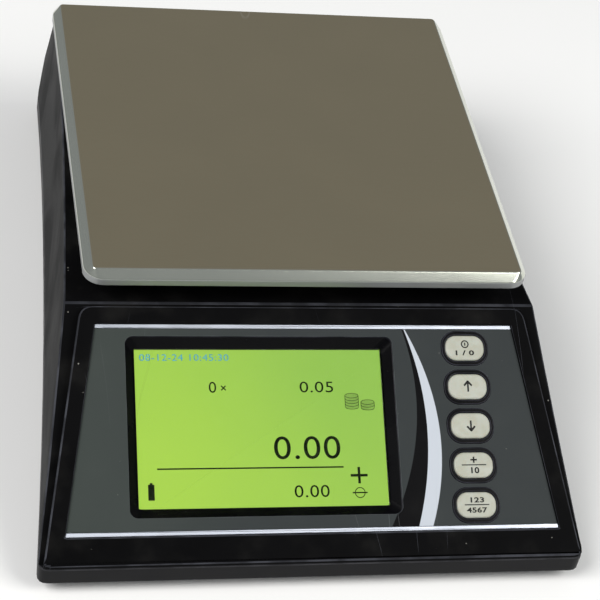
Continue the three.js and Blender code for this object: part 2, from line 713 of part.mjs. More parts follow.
// Hexagon-head bolt; up is +1 with the head below, -1 with the head above
function bolt(x, y, headFace, length, up) {
  const head = new THREE.CylinderGeometry(5, 5, 4, 6).rotateX(Math.PI / 2);
  head.translate(x, y, headFace - up * 2);
  const low = Math.min(headFace - up, headFace + up * length);
  const high = Math.max(headFace - up, headFace + up * length);
  return join(head, post(x, y, low, high, BOLT_RADIUS, 12));
}

// The fixed end's bolts come up from sockets in the chassis
[-BOLT_OFFSET, BOLT_OFFSET].forEach((x, i) => {
  const shank = post(x, FIXED_Y, CHASSIS_Z + 0.2, CELL_Z + 14, BOLT_RADIUS, 12);
  add(`cell_bolt_lower_${i + 1}`, shank, 0x8d8f93, 0.35, 1);
  add(
    `cell_bolt_upper_${i + 1}`,
    bolt(x, RISER_Y, FRAME_TOP_Z + 0.2, FRAME_TOP_Z - CELL_Z - 12, -1),
    0x8d8f93,
    0.35,
    1,
  );
});

function overloadStop() {
  const head = new THREE.CylinderGeometry(7, 7, 4, 6).rotateX(Math.PI / 2);
  head.translate(0, STOP_Y, CHASSIS_TOP + 2.3);
  return join(head, post(0, STOP_Y, CHASSIS_Z + 0.2, CELL_Z - 0.9, STUD_RADIUS, 14));
}

add('overload_stop', overloadStop(), 0x8d8f93, 0.35, 1);

// Main board with its larger parts, on the floor behind the display
function mainBoard() {
  const z = FLOOR_Z + 6;
  const y = BASE_FRONT + 78;
  const legs = [
    [-98, y + 6],
    [38, y + 6],
    [-98, y + 70],
    [38, y + 70],
  ];
  return join(
    box(-105, 45, y, y + 82, z, z + 1.6),
    box(-90, -70, y + 25, y + 60, z + 1, z + 12),
    box(-40, -10, y + 30, y + 60, z + 1, z + 4),
    box(10, 34, y + 15, y + 55, z + 1, z + 9),
    box(-60, -20, y + 66, y + 74, z + 1, z + 8),
    ...legs.map(([legX, legY]) => post(legX, legY, FLOOR_Z + FIT, z + 1, 3, 10)),
  );
}

add('main_board', mainBoard(), 0x1f6b3a, 0.6, 0);

function battery() {
  const z = FLOOR_GAP + DOOR_THICK + FIT;
  return join(
    box(-BATTERY_X + 1, BATTERY_X - 1, BATTERY_Y0, BATTERY_Y1, z, z + BATTERY_TALL),
    box(-38, -32, BATTERY_Y0 + 20, BATTERY_Y0 + 26, z + BATTERY_TALL - 1, z + BATTERY_TALL + 6),
    box(32, 38, BATTERY_Y0 + 20, BATTERY_Y0 + 26, z + BATTERY_TALL - 1, z + BATTERY_TALL + 6),
  );
}

add('battery', battery(), 0x2b2f36, 0.6, 0);

// ---- rear sockets on their own plate ----

const PLATE_FRONT_Y = PORT_Y - FIT;
const JACK_X = -24;
const SERIAL_X = 14;
const PORT_MID_Z = (PORT_Z0 + PORT_Z1) / 2;

function alongY(geometry, x, y, z) {
  return geometry.rotateX(-Math.PI / 2).translate(x, y, z);
}

function serialShape(extra) {
  const wide = 10.5 + extra;
  const narrow = 8.8 + extra;
  const tall = 4.4 + extra;
  return polygon([
    [-narrow, -tall],
    [narrow, -tall],
    [wide, tall],
    [-wide, tall],
  ]);
}

function connectorPlate() {
  const plate = box(
    -PORT_X - WALL,
    PORT_X + WALL,
    PLATE_FRONT_Y - 1.5,
    PLATE_FRONT_Y,
    PORT_Z0 - WALL,
    PORT_Z1 + WALL,
  );
  const jackHole = alongY(post(0, 0, -4, 4, 6 + FIT, 18), JACK_X, PLATE_FRONT_Y, PORT_MID_Z);
  const serialHole = alongY(slab(serialShape(FIT), -4, 4), SERIAL_X, PLATE_FRONT_Y, PORT_MID_Z);
  return cut(solidOf(plate), jackHole, serialHole);
}

add('connector_plate', connectorPlate(), 0xa9abae, 0.4, 0.9);

// Barrel socket: collar, hollow and middle pin in one moulding
function powerInlet() {
  const socket = turned([
    [0, -12],
    [7.5, -12],
    [7.5, -2],
    [6, -2],
    [6, 3],
    [3.4, 3],
    [3.4, -9],
    [1.05, -9],
    [1.05, 1.6],
    [0.6, 2],
    [0, 2],
  ], 18);
  return alongY(socket, JACK_X, PLATE_FRONT_Y, PORT_MID_Z);
}

add('power_inlet', powerInlet(), 0x161616, 0.5, 0);

function serialPort() {
  const port = join(
    slab(serialShape(0), -8, 5),
    box(-15.5, 15.5, -6.2, 6.2, -9, -2),
  );
  return alongY(geometryOf(port), SERIAL_X, PLATE_FRONT_Y, PORT_MID_Z);
}

add('serial_port', serialPort(), 0xb9bbbe, 0.35, 0.9);

// ---- spirit level on the deck ----

function levelRing() {
  const ring = turned([
    [0, -6],
    [LEVEL_RADIUS, -6],
    [LEVEL_RADIUS, 0.2],
    [LEVEL_RADIUS + 2, 0.2],
    [LEVEL_RADIUS + 2, 1.2],
    [LEVEL_RADIUS - 1.2, 1.6],
    [LEVEL_RADIUS - 1.2, -4.5],
    [0, -4.5],
  ], 20);
  return ring.translate(0, LEVEL_Y, DECK_Z);
}

function levelVial() {
  const radius = LEVEL_RADIUS - 1.4;
  const vial = turned([
    [0, -4.3],
    [radius, -4.3],
    [radius, 0.6],
    [radius * 0.7, 1.3],
    [0, 1.6],
  ], 20);
  return vial.translate(0, LEVEL_Y, DECK_Z);
}

add('level_ring', levelRing(), 0x101010, 0.4, 0);
add('level_vial', levelVial(), 0xc6d84a, 0.1, 0);

// ---- moving platform: riser, frame and cushions ----

function platformRiser() {
  const low = CELL_Z + CELL_HEIGHT + FIT + CELL_TRAVEL;
  const high = FRAME_TOP_Z - FRAME_THICK - FIT;
  const block = box(-RISER_HALF_X, RISER_HALF_X, RISER_Y0, RISER_Y1, low, high);
  return cut(solidOf(block), ...boltHoles(RISER_Y, 0, FRAME_TOP_Z));
}

add('platform_riser', platformRiser(), 0xa9abae, 0.4, 0.9);

function platformFrame() {
  const z0 = FRAME_TOP_Z - FRAME_THICK;
  const centre = box(-30, 30, PAN_Y - 30, RISER_Y1 + 4, z0, FRAME_TOP_Z);
  const reach = CUSHION_SPREAD * Math.SQRT2 + 12;
  const arms = [45, -45].map((turn) => {
    const arm = box(-reach, reach, -11, 11, z0, FRAME_TOP_Z);
    return arm.rotateZ(THREE.MathUtils.degToRad(turn)).translate(0, PAN_Y, 0);
  });
  const sockets = cushionPlaces().map(([x, y]) => post(x, y, z0 - 1, FRAME_TOP_Z + 1, 4, 14));
  return cut(join(centre, ...arms), ...sockets, ...boltHoles(RISER_Y, z0 - 1, FRAME_TOP_Z + 1));
}

function cushionPlaces() {
  return [
    [-CUSHION_SPREAD, PAN_Y - CUSHION_SPREAD],
    [CUSHION_SPREAD, PAN_Y - CUSHION_SPREAD],
    [-CUSHION_SPREAD, PAN_Y + CUSHION_SPREAD],
    [CUSHION_SPREAD, PAN_Y + CUSHION_SPREAD],
  ];
}

add('platform_frame', platformFrame(), 0xb4b6b8, 0.5, 0.9);

function cushion(x, y) {
  const top = PAN_TOP_Z - PAN_SHEET - FIT;
  const body = turned([
    [0, FRAME_TOP_Z - FRAME_THICK + 1],
    [3.7, FRAME_TOP_Z - FRAME_THICK + 1],
    [3.7, FRAME_TOP_Z + 0.2],
    [CUSHION_RADIUS, FRAME_TOP_Z + 0.2],
    [CUSHION_RADIUS, top - 2],
    [CUSHION_RADIUS - 2, top],
    [0, top],
  ], 16);
  return body.translate(x, y, 0);
}

cushionPlaces().forEach(([x, y], i) => add(`pan_cushion_${i + 1}`, cushion(x, y), 0x161616, 0.9, 0));

// ---- weighing pan: folded sheet with sloping edges and a short upright hem ----

function panEdge(grow, drop, z0, z1) {
  const width = PAN_WIDTH - grow * 2;
  const depth = PAN_DEPTH - grow * 2;
  const geometry = slab(roundedRect(width, depth, PAN_RADIUS - grow), z0, z1, 5);
  if (drop === 0) {
    return geometry;
  }
  const position = geometry.attributes.position;
  const topRadius = 2;
  const ease = (value, half) => {
    const start = half - (PAN_RADIUS - grow);
    const corner = half - drop - topRadius;
    const size = Math.abs(value);
    const moved = size > start ? corner + ((size - start) * topRadius) / (PAN_RADIUS - grow) : (size * corner) / start;
    return Math.sign(value) * moved;
  };
  for (let i = 0; i < position.count; i += 1) {
    if (position.getZ(i) > (z0 + z1) / 2) {
      position.setX(i, ease(position.getX(i), width / 2));
      position.setY(i, ease(position.getY(i), depth / 2));
    }
  }
  return geometry;
}

function weighingPan() {
  const foot = PAN_TOP_Z - PAN_SKIRT;
  const hemTop = foot + PAN_HEM;
  const outer = join(panEdge(0, 0, foot, hemTop), panEdge(0, PAN_SLOPE, hemTop, PAN_TOP_Z));
  const inside = join(
    panEdge(PAN_SHEET, 0, foot - 2, hemTop - 0.5),
    panEdge(PAN_SHEET, PAN_SLOPE, hemTop - 0.5, PAN_TOP_Z - PAN_SHEET),
  );
  return outer.subtract(inside).translate([0, PAN_Y, 0]);
}

add('weighing_pan', weighingPan(), 0x8f8a80, 0.3, 1);

export default group;
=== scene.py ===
import math
import bmesh
import bpy
from mathutils import Matrix, Vector


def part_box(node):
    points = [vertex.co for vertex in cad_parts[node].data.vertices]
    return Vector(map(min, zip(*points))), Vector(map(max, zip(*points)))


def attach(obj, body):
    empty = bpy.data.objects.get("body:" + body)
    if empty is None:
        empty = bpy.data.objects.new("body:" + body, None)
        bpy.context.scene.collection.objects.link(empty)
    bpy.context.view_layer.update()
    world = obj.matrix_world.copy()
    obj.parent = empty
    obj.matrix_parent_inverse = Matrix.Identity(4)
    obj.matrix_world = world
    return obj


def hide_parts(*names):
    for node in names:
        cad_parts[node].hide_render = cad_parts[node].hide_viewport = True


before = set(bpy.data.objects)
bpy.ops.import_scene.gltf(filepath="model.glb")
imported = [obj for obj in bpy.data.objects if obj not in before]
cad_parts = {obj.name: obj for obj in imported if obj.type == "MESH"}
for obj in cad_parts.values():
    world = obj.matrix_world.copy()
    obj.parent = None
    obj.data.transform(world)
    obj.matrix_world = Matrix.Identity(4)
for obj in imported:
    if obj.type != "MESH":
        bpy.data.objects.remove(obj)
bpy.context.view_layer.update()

# ---- Lower housing ----
# A shallow black tray, injection moulded in one shot with its bosses. It carries everything
# else and its outer edges are rounded by the mould; the face has a fine even grain.
MM = 0.001


def deselect():
    bpy.ops.object.select_all(action="DESELECT")


def work_on(piece):
    deselect()
    piece.select_set(True)
    bpy.context.view_layer.objects.active = piece


def edit_mesh(piece):
    """Edit mode with nothing selected, and the mesh to pick faces and edges from."""
    work_on(piece)
    bpy.ops.object.mode_set(mode="EDIT")
    bpy.ops.mesh.select_all(action="DESELECT")
    return bmesh.from_edit_mesh(piece.data)


def leave_edit():
    bpy.ops.object.mode_set(mode="OBJECT")


def pick_edges(piece, wanted):
    """Selects the wanted edges and says how many there are."""
    edit_mesh(piece)
    bpy.ops.mesh.select_mode(type="EDGE")
    mesh = bmesh.from_edit_mesh(piece.data)
    chosen = [edge for edge in mesh.edges if wanted(edge)]
    for edge in chosen:
        edge.select_set(True)
    bmesh.update_edit_mesh(piece.data)
    return len(chosen)


def sharp(edge, degrees=30, longest_left_out=0):
    """An outer corner, sharper than so many degrees and longer than so many millimetres."""
    if len(edge.link_faces) != 2 or edge.calc_length() <= longest_left_out * MM:
        return False
    return edge.calc_face_angle_signed(0) > math.radians(degrees)


def corner(degrees, longest_left_out=0):
    """The same as a test to hand on: a corner this sharp and this long."""
    return lambda edge: sharp(edge, degrees, longest_left_out)


def mark_wear_and_highlight(piece):
    """The faces just made by a bevel stay selected; they get the edge colour: wear and painted highlight."""
    leave_edit()
    data = piece.data
    wear_and_highlight = data.attributes.get("wear_and_highlight") or data.attributes.new("wear_and_highlight", "FLOAT", "FACE")
    for polygon in data.polygons:
        if polygon.select:
            wear_and_highlight.data[polygon.index].value = 1.0


def round_edges(piece, width, segments, wanted):
    """Rounds the wanted edges by width in millimetres, marked for wear and painted highlight."""
    if pick_edges(piece, wanted):
        bpy.ops.mesh.bevel(offset=width * MM, segments=segments, affect="EDGES", clamp_overlap=False)
    mark_wear_and_highlight(piece)


def smooth(piece, degrees=35):
    """Soft shading over the rounded edges, with the large faces kept flat between them."""
    work_on(piece)
    bpy.ops.object.shade_smooth_by_angle(angle=math.radians(degrees))
    bpy.ops.object.modifier_add(type="WEIGHTED_NORMAL")
    piece.modifiers[-1].keep_sharp = True
    piece.modifiers[-1].weight = 100
    bpy.ops.object.modifier_apply(modifier=piece.modifiers[-1].name)


def solid_copy(node, name):
    """A new piece from a CAD solid: its loose triangles merged, flat faces made whole."""
    piece = bpy.data.objects.new(name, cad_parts[node].data.copy())
    piece.data.materials.clear()
    if "custom_normal" in piece.data.attributes:
        piece.data.attributes.remove(piece.data.attributes["custom_normal"])
    bpy.context.scene.collection.objects.link(piece)
    work_on(piece)
    bpy.ops.object.mode_set(mode="EDIT")
    bpy.ops.mesh.select_all(action="SELECT")
    bpy.ops.mesh.remove_doubles(threshold=0.004 * MM)
    bpy.ops.mesh.dissolve_limited(angle_limit=math.radians(0.2))
    leave_edit()
    return piece


def finish_piece(piece, body, slot, material, *nodes):
    """The piece rides on its body, stands for its CAD nodes and wears its material."""
    piece.data.materials.clear()
    piece.data.materials.append(material)
    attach(piece, body)
    if nodes:
        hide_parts(*nodes)


def node_in(tree, kind, inputs, **settings):
    """One shader node; an input given as a socket is linked, anything else is set."""
    node = tree.nodes.new("ShaderNode" + kind)
    for key, value in settings.items():
        setattr(node, key, value)
    for key, value in inputs.items():
        if isinstance(value, bpy.types.NodeSocket):
            tree.links.new(value, node.inputs[key])
        else:
            node.inputs[key].default_value = value
    return node


def object_place(tree):
    """The point of the piece being shaded, in metres in the model's own frame."""
    return tree.nodes.new("ShaderNodeTexCoord").outputs["Object"]


def facing_up(tree):
    """The upward part of the face's direction, 1 where it is level."""
    normal = tree.nodes.new("ShaderNodeNewGeometry").outputs["Normal"]
    return node_in(tree, "SeparateXYZ", {0: normal}).outputs[2]


def mapped(tree, place, **inputs):
    """The place shifted, turned or stretched before a texture reads it."""
    return node_in(tree, "Mapping", {"Vector": place, **inputs}).outputs[0]


def noise(tree, place, scale, detail, distortion=0.0):
    inputs = {"Vector": place, "Scale": scale, "Detail": detail, "Distortion": distortion}
    return node_in(tree, "TexNoise", inputs).outputs[0]


def math_node(tree, operation, first, second=0.0, third=0.0):
    inputs = {0: first, 1: second, 2: third}
    return node_in(tree, "Math", inputs, operation=operation).outputs[0]


def times(tree, first, second):
    return math_node(tree, "MULTIPLY", first, second)


def ranged(tree, value, low, high, to_low, to_high):
    """Value's low to high, eased into another range and held past its ends."""
    inputs = {0: value, 1: low, 2: high, 3: to_low, 4: to_high}
    return node_in(tree, "MapRange", inputs, interpolation_type="SMOOTHSTEP").outputs[0]


def colour_mix(tree, factor, first, second):
    inputs = {0: factor, 6: first, 7: second}
    return node_in(tree, "Mix", inputs, data_type="RGBA").outputs[2]


def colour(red, green, blue):
    """A colour given 0 to 255, as the linear value that light needs."""
    def linear(value):
        value /= 255
        return value / 12.92 if value <= 0.04045 else ((value + 0.055) / 1.055) ** 2.4
    return (linear(red), linear(green), linear(blue), 1)


def new_material(name):
    material = bpy.data.materials.new(name)
    material.use_nodes = True
    return material, material.node_tree, material.node_tree.nodes["Principled BSDF"]


def paint(tree, shader, shade, roughness):
    tree.links.new(shade, shader.inputs["Base Color"])
    tree.links.new(roughness, shader.inputs["Roughness"])


def bumped(tree, shader, height, strength, depth):
    """Fine relief that only the light feels; depth is in millimetres."""
    inputs = {"Strength": strength, "Distance": depth * MM, "Height": height}
    bump = node_in(tree, "Bump", inputs)
    tree.links.new(bump.outputs[0], shader.inputs["Normal"])


def effect(name, inputs, outputs):
    """An empty node group: its tree, what it is given and the node that takes its results."""
    tree = bpy.data.node_groups.new(name, "ShaderNodeTree")
    for label, value in inputs:
        socket = tree.interface.new_socket(label, in_out="INPUT", socket_type="NodeSocketFloat")
        socket.default_value = value
    for label in outputs:
        tree.interface.new_socket(label, in_out="OUTPUT", socket_type="NodeSocketFloat")
    return tree, tree.nodes.new("NodeGroupInput").outputs, tree.nodes.new("NodeGroupOutput").inputs


def use_effect(tree, name, **values):
    """A node that runs one of the effects below; gives back its outputs."""
    node = tree.nodes.new("ShaderNodeGroup")
    node.node_tree = bpy.data.node_groups[name]
    for key, value in values.items():
        node.inputs[key].default_value = value
    return node.outputs


def build_grain():
    """Spark-eroded mould grain: round pits among finer speckle. Scale is pits per metre."""
    tree, given, out = effect("mould_grain", [("Scale", 1500), ("Pits", 0.6)], ["Height"])
    place = object_place(tree)
    pit_places = {"Vector": place, "Scale": given["Scale"]}
    pits = node_in(tree, "TexVoronoi", pit_places, feature="SMOOTH_F1")
    speckle = noise(tree, place, times(tree, given["Scale"], 2.3), 3.0)
    deep = times(tree, pits.outputs["Distance"], given["Pits"])
    total = math_node(tree, "ADD", deep, speckle)
    tree.links.new(total, out["Height"])


def build_handling():
    """Where hands and cloths have been: broad smears, and faint dry wipe marks across them."""
    tree, given, out = effect(
        "handling", [("Rough", 0.4), ("Spread", 0.12), ("Scale", 14)], ["Roughness", "Smear"]
    )
    place = object_place(tree)
    broad = noise(tree, place, given["Scale"], 4.0, 0.8)
    wiped_way = mapped(tree, place, Rotation=(0, 0, 0.5), Scale=(1, 7, 1))
    wipes = noise(tree, wiped_way, 90, 5.0)
    smear = ranged(tree, broad, 0.38, 0.66, 0, 1)
    wiped = times(tree, wipes, 0.5)
    both = math_node(tree, "ADD", smear, wiped)
    centred = math_node(tree, "SUBTRACT", both, 0.7)
    change = times(tree, centred, given["Spread"])
    rough = math_node(tree, "ADD", change, given["Rough"])
    tree.links.new(rough, out["Roughness"])
    tree.links.new(smear, out["Smear"])


def build_wear_and_highlight():
    """The rounded corners, broken up: edge colour that is partly wear, partly painted highlight."""
    tree, given, out = effect("edge_wear_and_highlight", [("Amount", 0.5), ("Scale", 60)], ["Mask"])
    wear_and_highlight = node_in(tree, "Attribute", {}, attribute_name="wear_and_highlight")
    patches = noise(tree, object_place(tree), given["Scale"], 6.0)
    broken = ranged(tree, patches, 0.38, 0.66, 0.4, 1)
    edges = times(tree, wear_and_highlight.outputs["Fac"], broken)
    mask = times(tree, edges, given["Amount"])
    tree.links.new(mask, out["Mask"])


def build_dust():
    """Settled dust: a faint veil and separate specks, only on faces that look up."""
    tree, given, out = effect("dust", [("Amount", 0.5), ("Specks", 420)], ["Mask"])
    place = object_place(tree)
    up = ranged(tree, facing_up(tree), 0.55, 0.95, 0, 1)
    speck_places = {"Vector": place, "Scale": given["Specks"]}
    cells = node_in(tree, "TexVoronoi", speck_places)
    chance = node_in(tree, "SeparateXYZ", {0: cells.outputs["Color"]})
    mostly_small = math_node(tree, "POWER", chance.outputs[1], 3.0)
    size = math_node(tree, "MULTIPLY_ADD", mostly_small, 0.17, 0.04)
    dot = math_node(tree, "LESS_THAN", cells.outputs["Distance"], size)
    rare = math_node(tree, "GREATER_THAN", chance.outputs[0], 0.97)
    specks = times(tree, dot, rare)
    veil = ranged(tree, noise(tree, place, 35, 5.0), 0.45, 0.8, 0, 0.04)
    both = math_node(tree, "ADD", specks, veil)
    lying = times(tree, both, up)
    mask = times(tree, lying, given["Amount"])
    tree.links.new(mask, out["Mask"])


def build_hairlines():
    """Single fine scratches, nearly straight, thin enough to show only as glints."""
    tree, given, out = effect("hairlines", [("Scale", 9), ("Amount", 1)], ["Mask"])
    place = object_place(tree)
    drawn = mapped(tree, place, Location=(0.4, 0.1, 0.2), Rotation=(0.2, 0.3, 0.9), Scale=(3.2, 0.3, 1))
    wave = noise(tree, drawn, given["Scale"], 0.0)
    off_line = math_node(tree, "ABSOLUTE", math_node(tree, "SUBTRACT", wave, 0.5))
    line = math_node(tree, "LESS_THAN", off_line, 0.0008)
    part = ranged(tree, noise(tree, place, 13, 1.0), 0.6, 0.66, 0, 1)
    some = times(tree, line, part)
    mask = times(tree, some, given["Amount"])
    tree.links.new(mask, out["Mask"])


build_grain()
build_handling()
build_wear_and_highlight()
build_dust()
build_hairlines()


def brighter(base, factor):
    """A colour made so many times as bright, or darker where the factor is below one."""
    return tuple(min(1, part * factor) for part in base[:3]) + (1,)


def moulded(name, base, wear_and_highlight, rough, grain_scale, grain_depth, dust=0.5, shine=1.35, spread=0.14):
    """Moulded plastic: grained face, handled patches, worn edges with painted highlight, dust, a few
    hairlines.
    """
    material, tree, shader = new_material(name)
    handling = use_effect(tree, "handling", Rough=rough, Spread=spread)
    wear_and_highlight_mask = use_effect(tree, "edge_wear_and_highlight", Amount=0.55)
    settled = use_effect(tree, "dust", Amount=dust)
    lines = use_effect(tree, "hairlines", Amount=0.6)
    grain = use_effect(tree, "mould_grain", Scale=grain_scale)
    face = colour_mix(tree, handling["Smear"], base, brighter(base, 1.25))
    rubbed_and_highlighted = colour_mix(tree, wear_and_highlight_mask[0], face, wear_and_highlight)
    scratched = colour_mix(tree, lines[0], rubbed_and_highlighted, wear_and_highlight)
    dusty = colour_mix(tree, settled[0], scratched, colour(170, 168, 160))
    dulled = math_node(tree, "MULTIPLY_ADD", settled[0], 0.4, handling["Roughness"])
    paint(tree, shader, dusty, dulled)
    bumped(tree, shader, grain[0], grain_depth, 0.08)
    shader.inputs["IOR"].default_value = shine
    return material


LENGTH = 456
REAR_HALF_WIDTH = 137.5
FRONT_FLARE = 29
FLARE_CURVE = 1.6
RIM_DEPTH = 2.5


def side_reach(y):
    """How far out the sides stand at a depth: a curve that draws in towards the rear."""
    back = min(1, max(0, (y / MM + LENGTH / 2) / LENGTH))
    return REAR_HALF_WIDTH + FRONT_FLARE * (1 - back) ** FLARE_CURVE


def outer_side(edge):
    """The tray's rim and foot line, and its rounded corners; not the bosses inside."""
    middle = (edge.verts[0].co + edge.verts[1].co) / 2
    on_side = abs(middle.x) / MM > side_reach(middle.y) - RIM_DEPTH
    at_end = abs(middle.y) / MM > LENGTH / 2 - RIM_DEPTH
    return (on_side or at_end) and sharp(edge, 40)


base_plastic = moulded("housing_black", colour(20, 20, 22), colour(78, 78, 82), 0.44, 1300, 0.3, shine=1.2)
base_shell = solid_copy("base_shell", "base_shell_moulded")
round_edges(base_shell, 0.9, 3, outer_side)
round_edges(base_shell, 0.25, 2, lambda edge: not outer_side(edge) and sharp(edge, 60, 1.5))
smooth(base_shell)
finish_piece(base_shell, "housing", "housing_plastic", base_plastic, "base_shell")


# ---- Battery door and fastening screws ----
# A clip-in flat cover of the same black plastic, closed by one screw, and six zinc-plated
# self-tapping screws set deep in the tray. Their recesses show a turned, slightly dull head.


def turned_metal(name, base, rough, grain, stretch, depth, tint=None):
    """Bare metal with its tool or rolling marks drawn out one way, handled and rubbed."""
    material, tree, shader = new_material(name)
    shader.inputs["Metallic"].default_value = 1.0
    place = object_place(tree)
    marks = noise(tree, mapped(tree, place, Scale=stretch), grain, 4.0)
    handling = use_effect(tree, "handling", Rough=rough, Spread=0.16, Scale=25)
    wear_and_highlight_mask = use_effect(tree, "edge_wear_and_highlight", Amount=0.5)
    stained = ranged(tree, noise(tree, place, 30, 5.0), 0.4, 0.75, 0, 0.5)
    dark = tint or brighter(base, 0.62)
    face = colour_mix(tree, stained, base, dark)
    grained = colour_mix(tree, times(tree, marks, 0.35), face, dark)
    bright = colour_mix(tree, wear_and_highlight_mask[0], grained, brighter(base, 1.35))
    paint(tree, shader, bright, math_node(tree, "MULTIPLY_ADD", marks, 0.12, handling[0]))
    bumped(tree, shader, marks, depth, 0.06)
    return material


def fitted(node, name, body, slot, material, width, segments, wanted=sharp, degrees=30):
    """A CAD solid with its edges rounded and smoothed, which then stands for its node."""
    piece = solid_copy(node, name)
    round_edges(piece, width, segments, wanted)
    smooth(piece, degrees)
    finish_piece(piece, body, slot, material, node)


door_black = moulded("door_black", colour(32, 32, 34), colour(96, 96, 100), 0.5, 900, 0.45)
fitted(
    "battery_door", "battery_door_moulded", "housing", "housing_plastic", door_black, 0.35, 2, degrees=35
)

zinc = turned_metal("zinc_plate", colour(172, 172, 168), 0.34, 1500, (1, 1, 1), 0.1, colour(120, 112, 96))
for node in [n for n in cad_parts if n.startswith("case_screw_") or n == "battery_door_screw"]:
    fitted(node, node + "_turned", "housing", "bolt_steel", zinc, 0.12, 2, corner(40))


# ---- Levelling feet ----
# A moulded disc with a knurled rim on a threaded stud, and a rubber sole pressed under it.
# The disc is turned by hand to level the scale, so its ribs are rubbed lighter.
DISC_RADIUS, DISC_LOW, DISC_HIGH, DISC_RIBS = 13.0, 3.75, 7.55, 40
STUD_RADIUS, STUD_LOW, STUD_HIGH, STUD_TIP = 4.0, 7.5, 20.2, 0.4
THREAD_PITCH, THREAD_ROOT = 1.25, 0.86
RIB_EDGE, RIB_DEPTH = 0.12, 0.45


def pick_faces(piece, wanted):
    edit_mesh(piece)
    bpy.ops.mesh.select_mode(type="FACE")
    mesh = bmesh.from_edit_mesh(piece.data)
    for face in mesh.faces:
        if wanted(face):
            face.select_set(True)
    bmesh.update_edit_mesh(piece.data)


def new_piece(name):
    """Names the object just made and puts its place, turn and size into its mesh."""
    piece = bpy.context.object
    piece.name = name
    work_on(piece)
    bpy.ops.object.transform_apply(location=True, rotation=True, scale=True)
    return piece


def joined(name, pieces):
    work_on(pieces[0])
    for piece in pieces:
        piece.select_set(True)
    if len(pieces) > 1:
        bpy.ops.object.join()
    pieces[0].name = name
    return pieces[0]


def turn_outward():
    """Leaves edit mode with every face of the piece looking out of it."""
    bpy.ops.mesh.select_all(action="SELECT")
    bpy.ops.mesh.normals_make_consistent(inside=False)
    leave_edit()


def alternate_rib(face):
    """Every second face round the rim of a disc."""
    turn = math.atan2(face.normal.y, face.normal.x) / math.tau * DISC_RIBS * 2
    return abs(face.normal.z) <= 0.5 and round(turn - 0.5) % 2 == 0


def level_corner(edge):
    return abs(edge.verts[0].co.z - edge.verts[1].co.z) < 1e-6 and sharp(edge, 60)


def knurled_disc(name, x, y):
    """A disc whose rim has alternate faces drawn in, with both edges eased."""
    deselect()
    bpy.ops.mesh.primitive_cylinder_add(
        vertices=DISC_RIBS * 2,
        radius=DISC_RADIUS * MM,
        depth=(DISC_HIGH - DISC_LOW) * MM,
        location=(x, y, (DISC_LOW + DISC_HIGH) / 2 * MM),
    )
    disc = new_piece(name)
    round_edges(disc, 0.35, 2, level_corner)
    pick_faces(disc, alternate_rib)
    bpy.ops.mesh.inset(thickness=RIB_EDGE * MM, depth=-RIB_DEPTH * MM)
    mark_wear_and_highlight(disc)
    return disc


def threaded_stud(name, x, y):
    """A stud whose thread is a run of ridges, made by drawing in every second ring."""
    deselect()
    bpy.ops.mesh.primitive_circle_add(
        vertices=24, radius=STUD_RADIUS * MM, fill_type="NGON", location=(x, y, STUD_LOW * MM)
    )
    stud = new_piece(name)
    edit_mesh(stud)
    bpy.ops.mesh.select_all(action="SELECT")

    def next_ring(rise, scale):
        bpy.ops.mesh.extrude_region_move(TRANSFORM_OT_translate={"value": (0, 0, rise * MM)})
        bpy.ops.transform.resize(value=(scale, scale, 1), center_override=(x, y, 0))

    for ridge in range(int((STUD_HIGH - STUD_LOW) / THREAD_PITCH)):
        next_ring(THREAD_PITCH / 2, THREAD_ROOT)
        next_ring(THREAD_PITCH / 2, 1 / THREAD_ROOT)
    next_ring(STUD_TIP, 0.8)
    turn_outward()
    return stud


foot_plastic = moulded("foot_black", colour(34, 34, 36), colour(120, 120, 122), 0.5, 1800, 0.3)
sole_rubber = moulded("sole_rubber", colour(22, 22, 22), colour(70, 68, 64), 0.85, 700, 0.6, spread=0.06)
for spot in ("front_left", "front_right", "rear_left", "rear_right"):
    low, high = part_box("foot_stud_" + spot)
    x, y = (low.x + high.x) / 2, (low.y + high.y) / 2
    parts = [knurled_disc("foot_disc_" + spot, x, y), threaded_stud("foot_thread_" + spot, x, y)]
    foot = joined("foot_disc_" + spot, parts)
    smooth(foot, 25)
    finish_piece(foot, "foot_" + spot, "foot_plastic", foot_plastic, "foot_stud_" + spot)
    fitted("foot_pad_" + spot, "foot_sole_" + spot, "foot_" + spot, "rubber_black", sole_rubber, 0.3, 2)


# ---- Chassis, load cell and its fasteners ----
# A ribbed steel plate screwed to the tray carries a milled aluminium bar with a double hole,
# which bends under load. Hexagon bolts clamp it at both ends, and a stop bolt limits it.
chassis_steel = turned_metal(
    "rolled_steel", colour(150, 152, 154), 0.4, 500, (1, 12, 1), 0.15, colour(96, 92, 86)
)
milled_alloy = turned_metal("milled_alloy", colour(196, 198, 200), 0.3, 1100, (10, 1, 10), 0.2)
bolt_steel = turned_metal(
    "black_oxide", colour(84, 85, 88), 0.36, 1400, (1, 1, 1), 0.12, colour(50, 46, 42)
)
for node, slot, material, width in (
    ("chassis", "steel_plate", chassis_steel, 0.4),
    ("cell_riser", "cast_alu", milled_alloy, 0.5),
    ("load_cell", "cell_alu", milled_alloy, 0.3),
    ("cell_bolt_lower_1", "bolt_steel", bolt_steel, 0.2),
    ("cell_bolt_lower_2", "bolt_steel", bolt_steel, 0.2),
    ("overload_stop", "bolt_steel", bolt_steel, 0.3),
):
    fitted(node, node + "_machined", "housing", slot, material, width, 2, corner(50, 1.2))


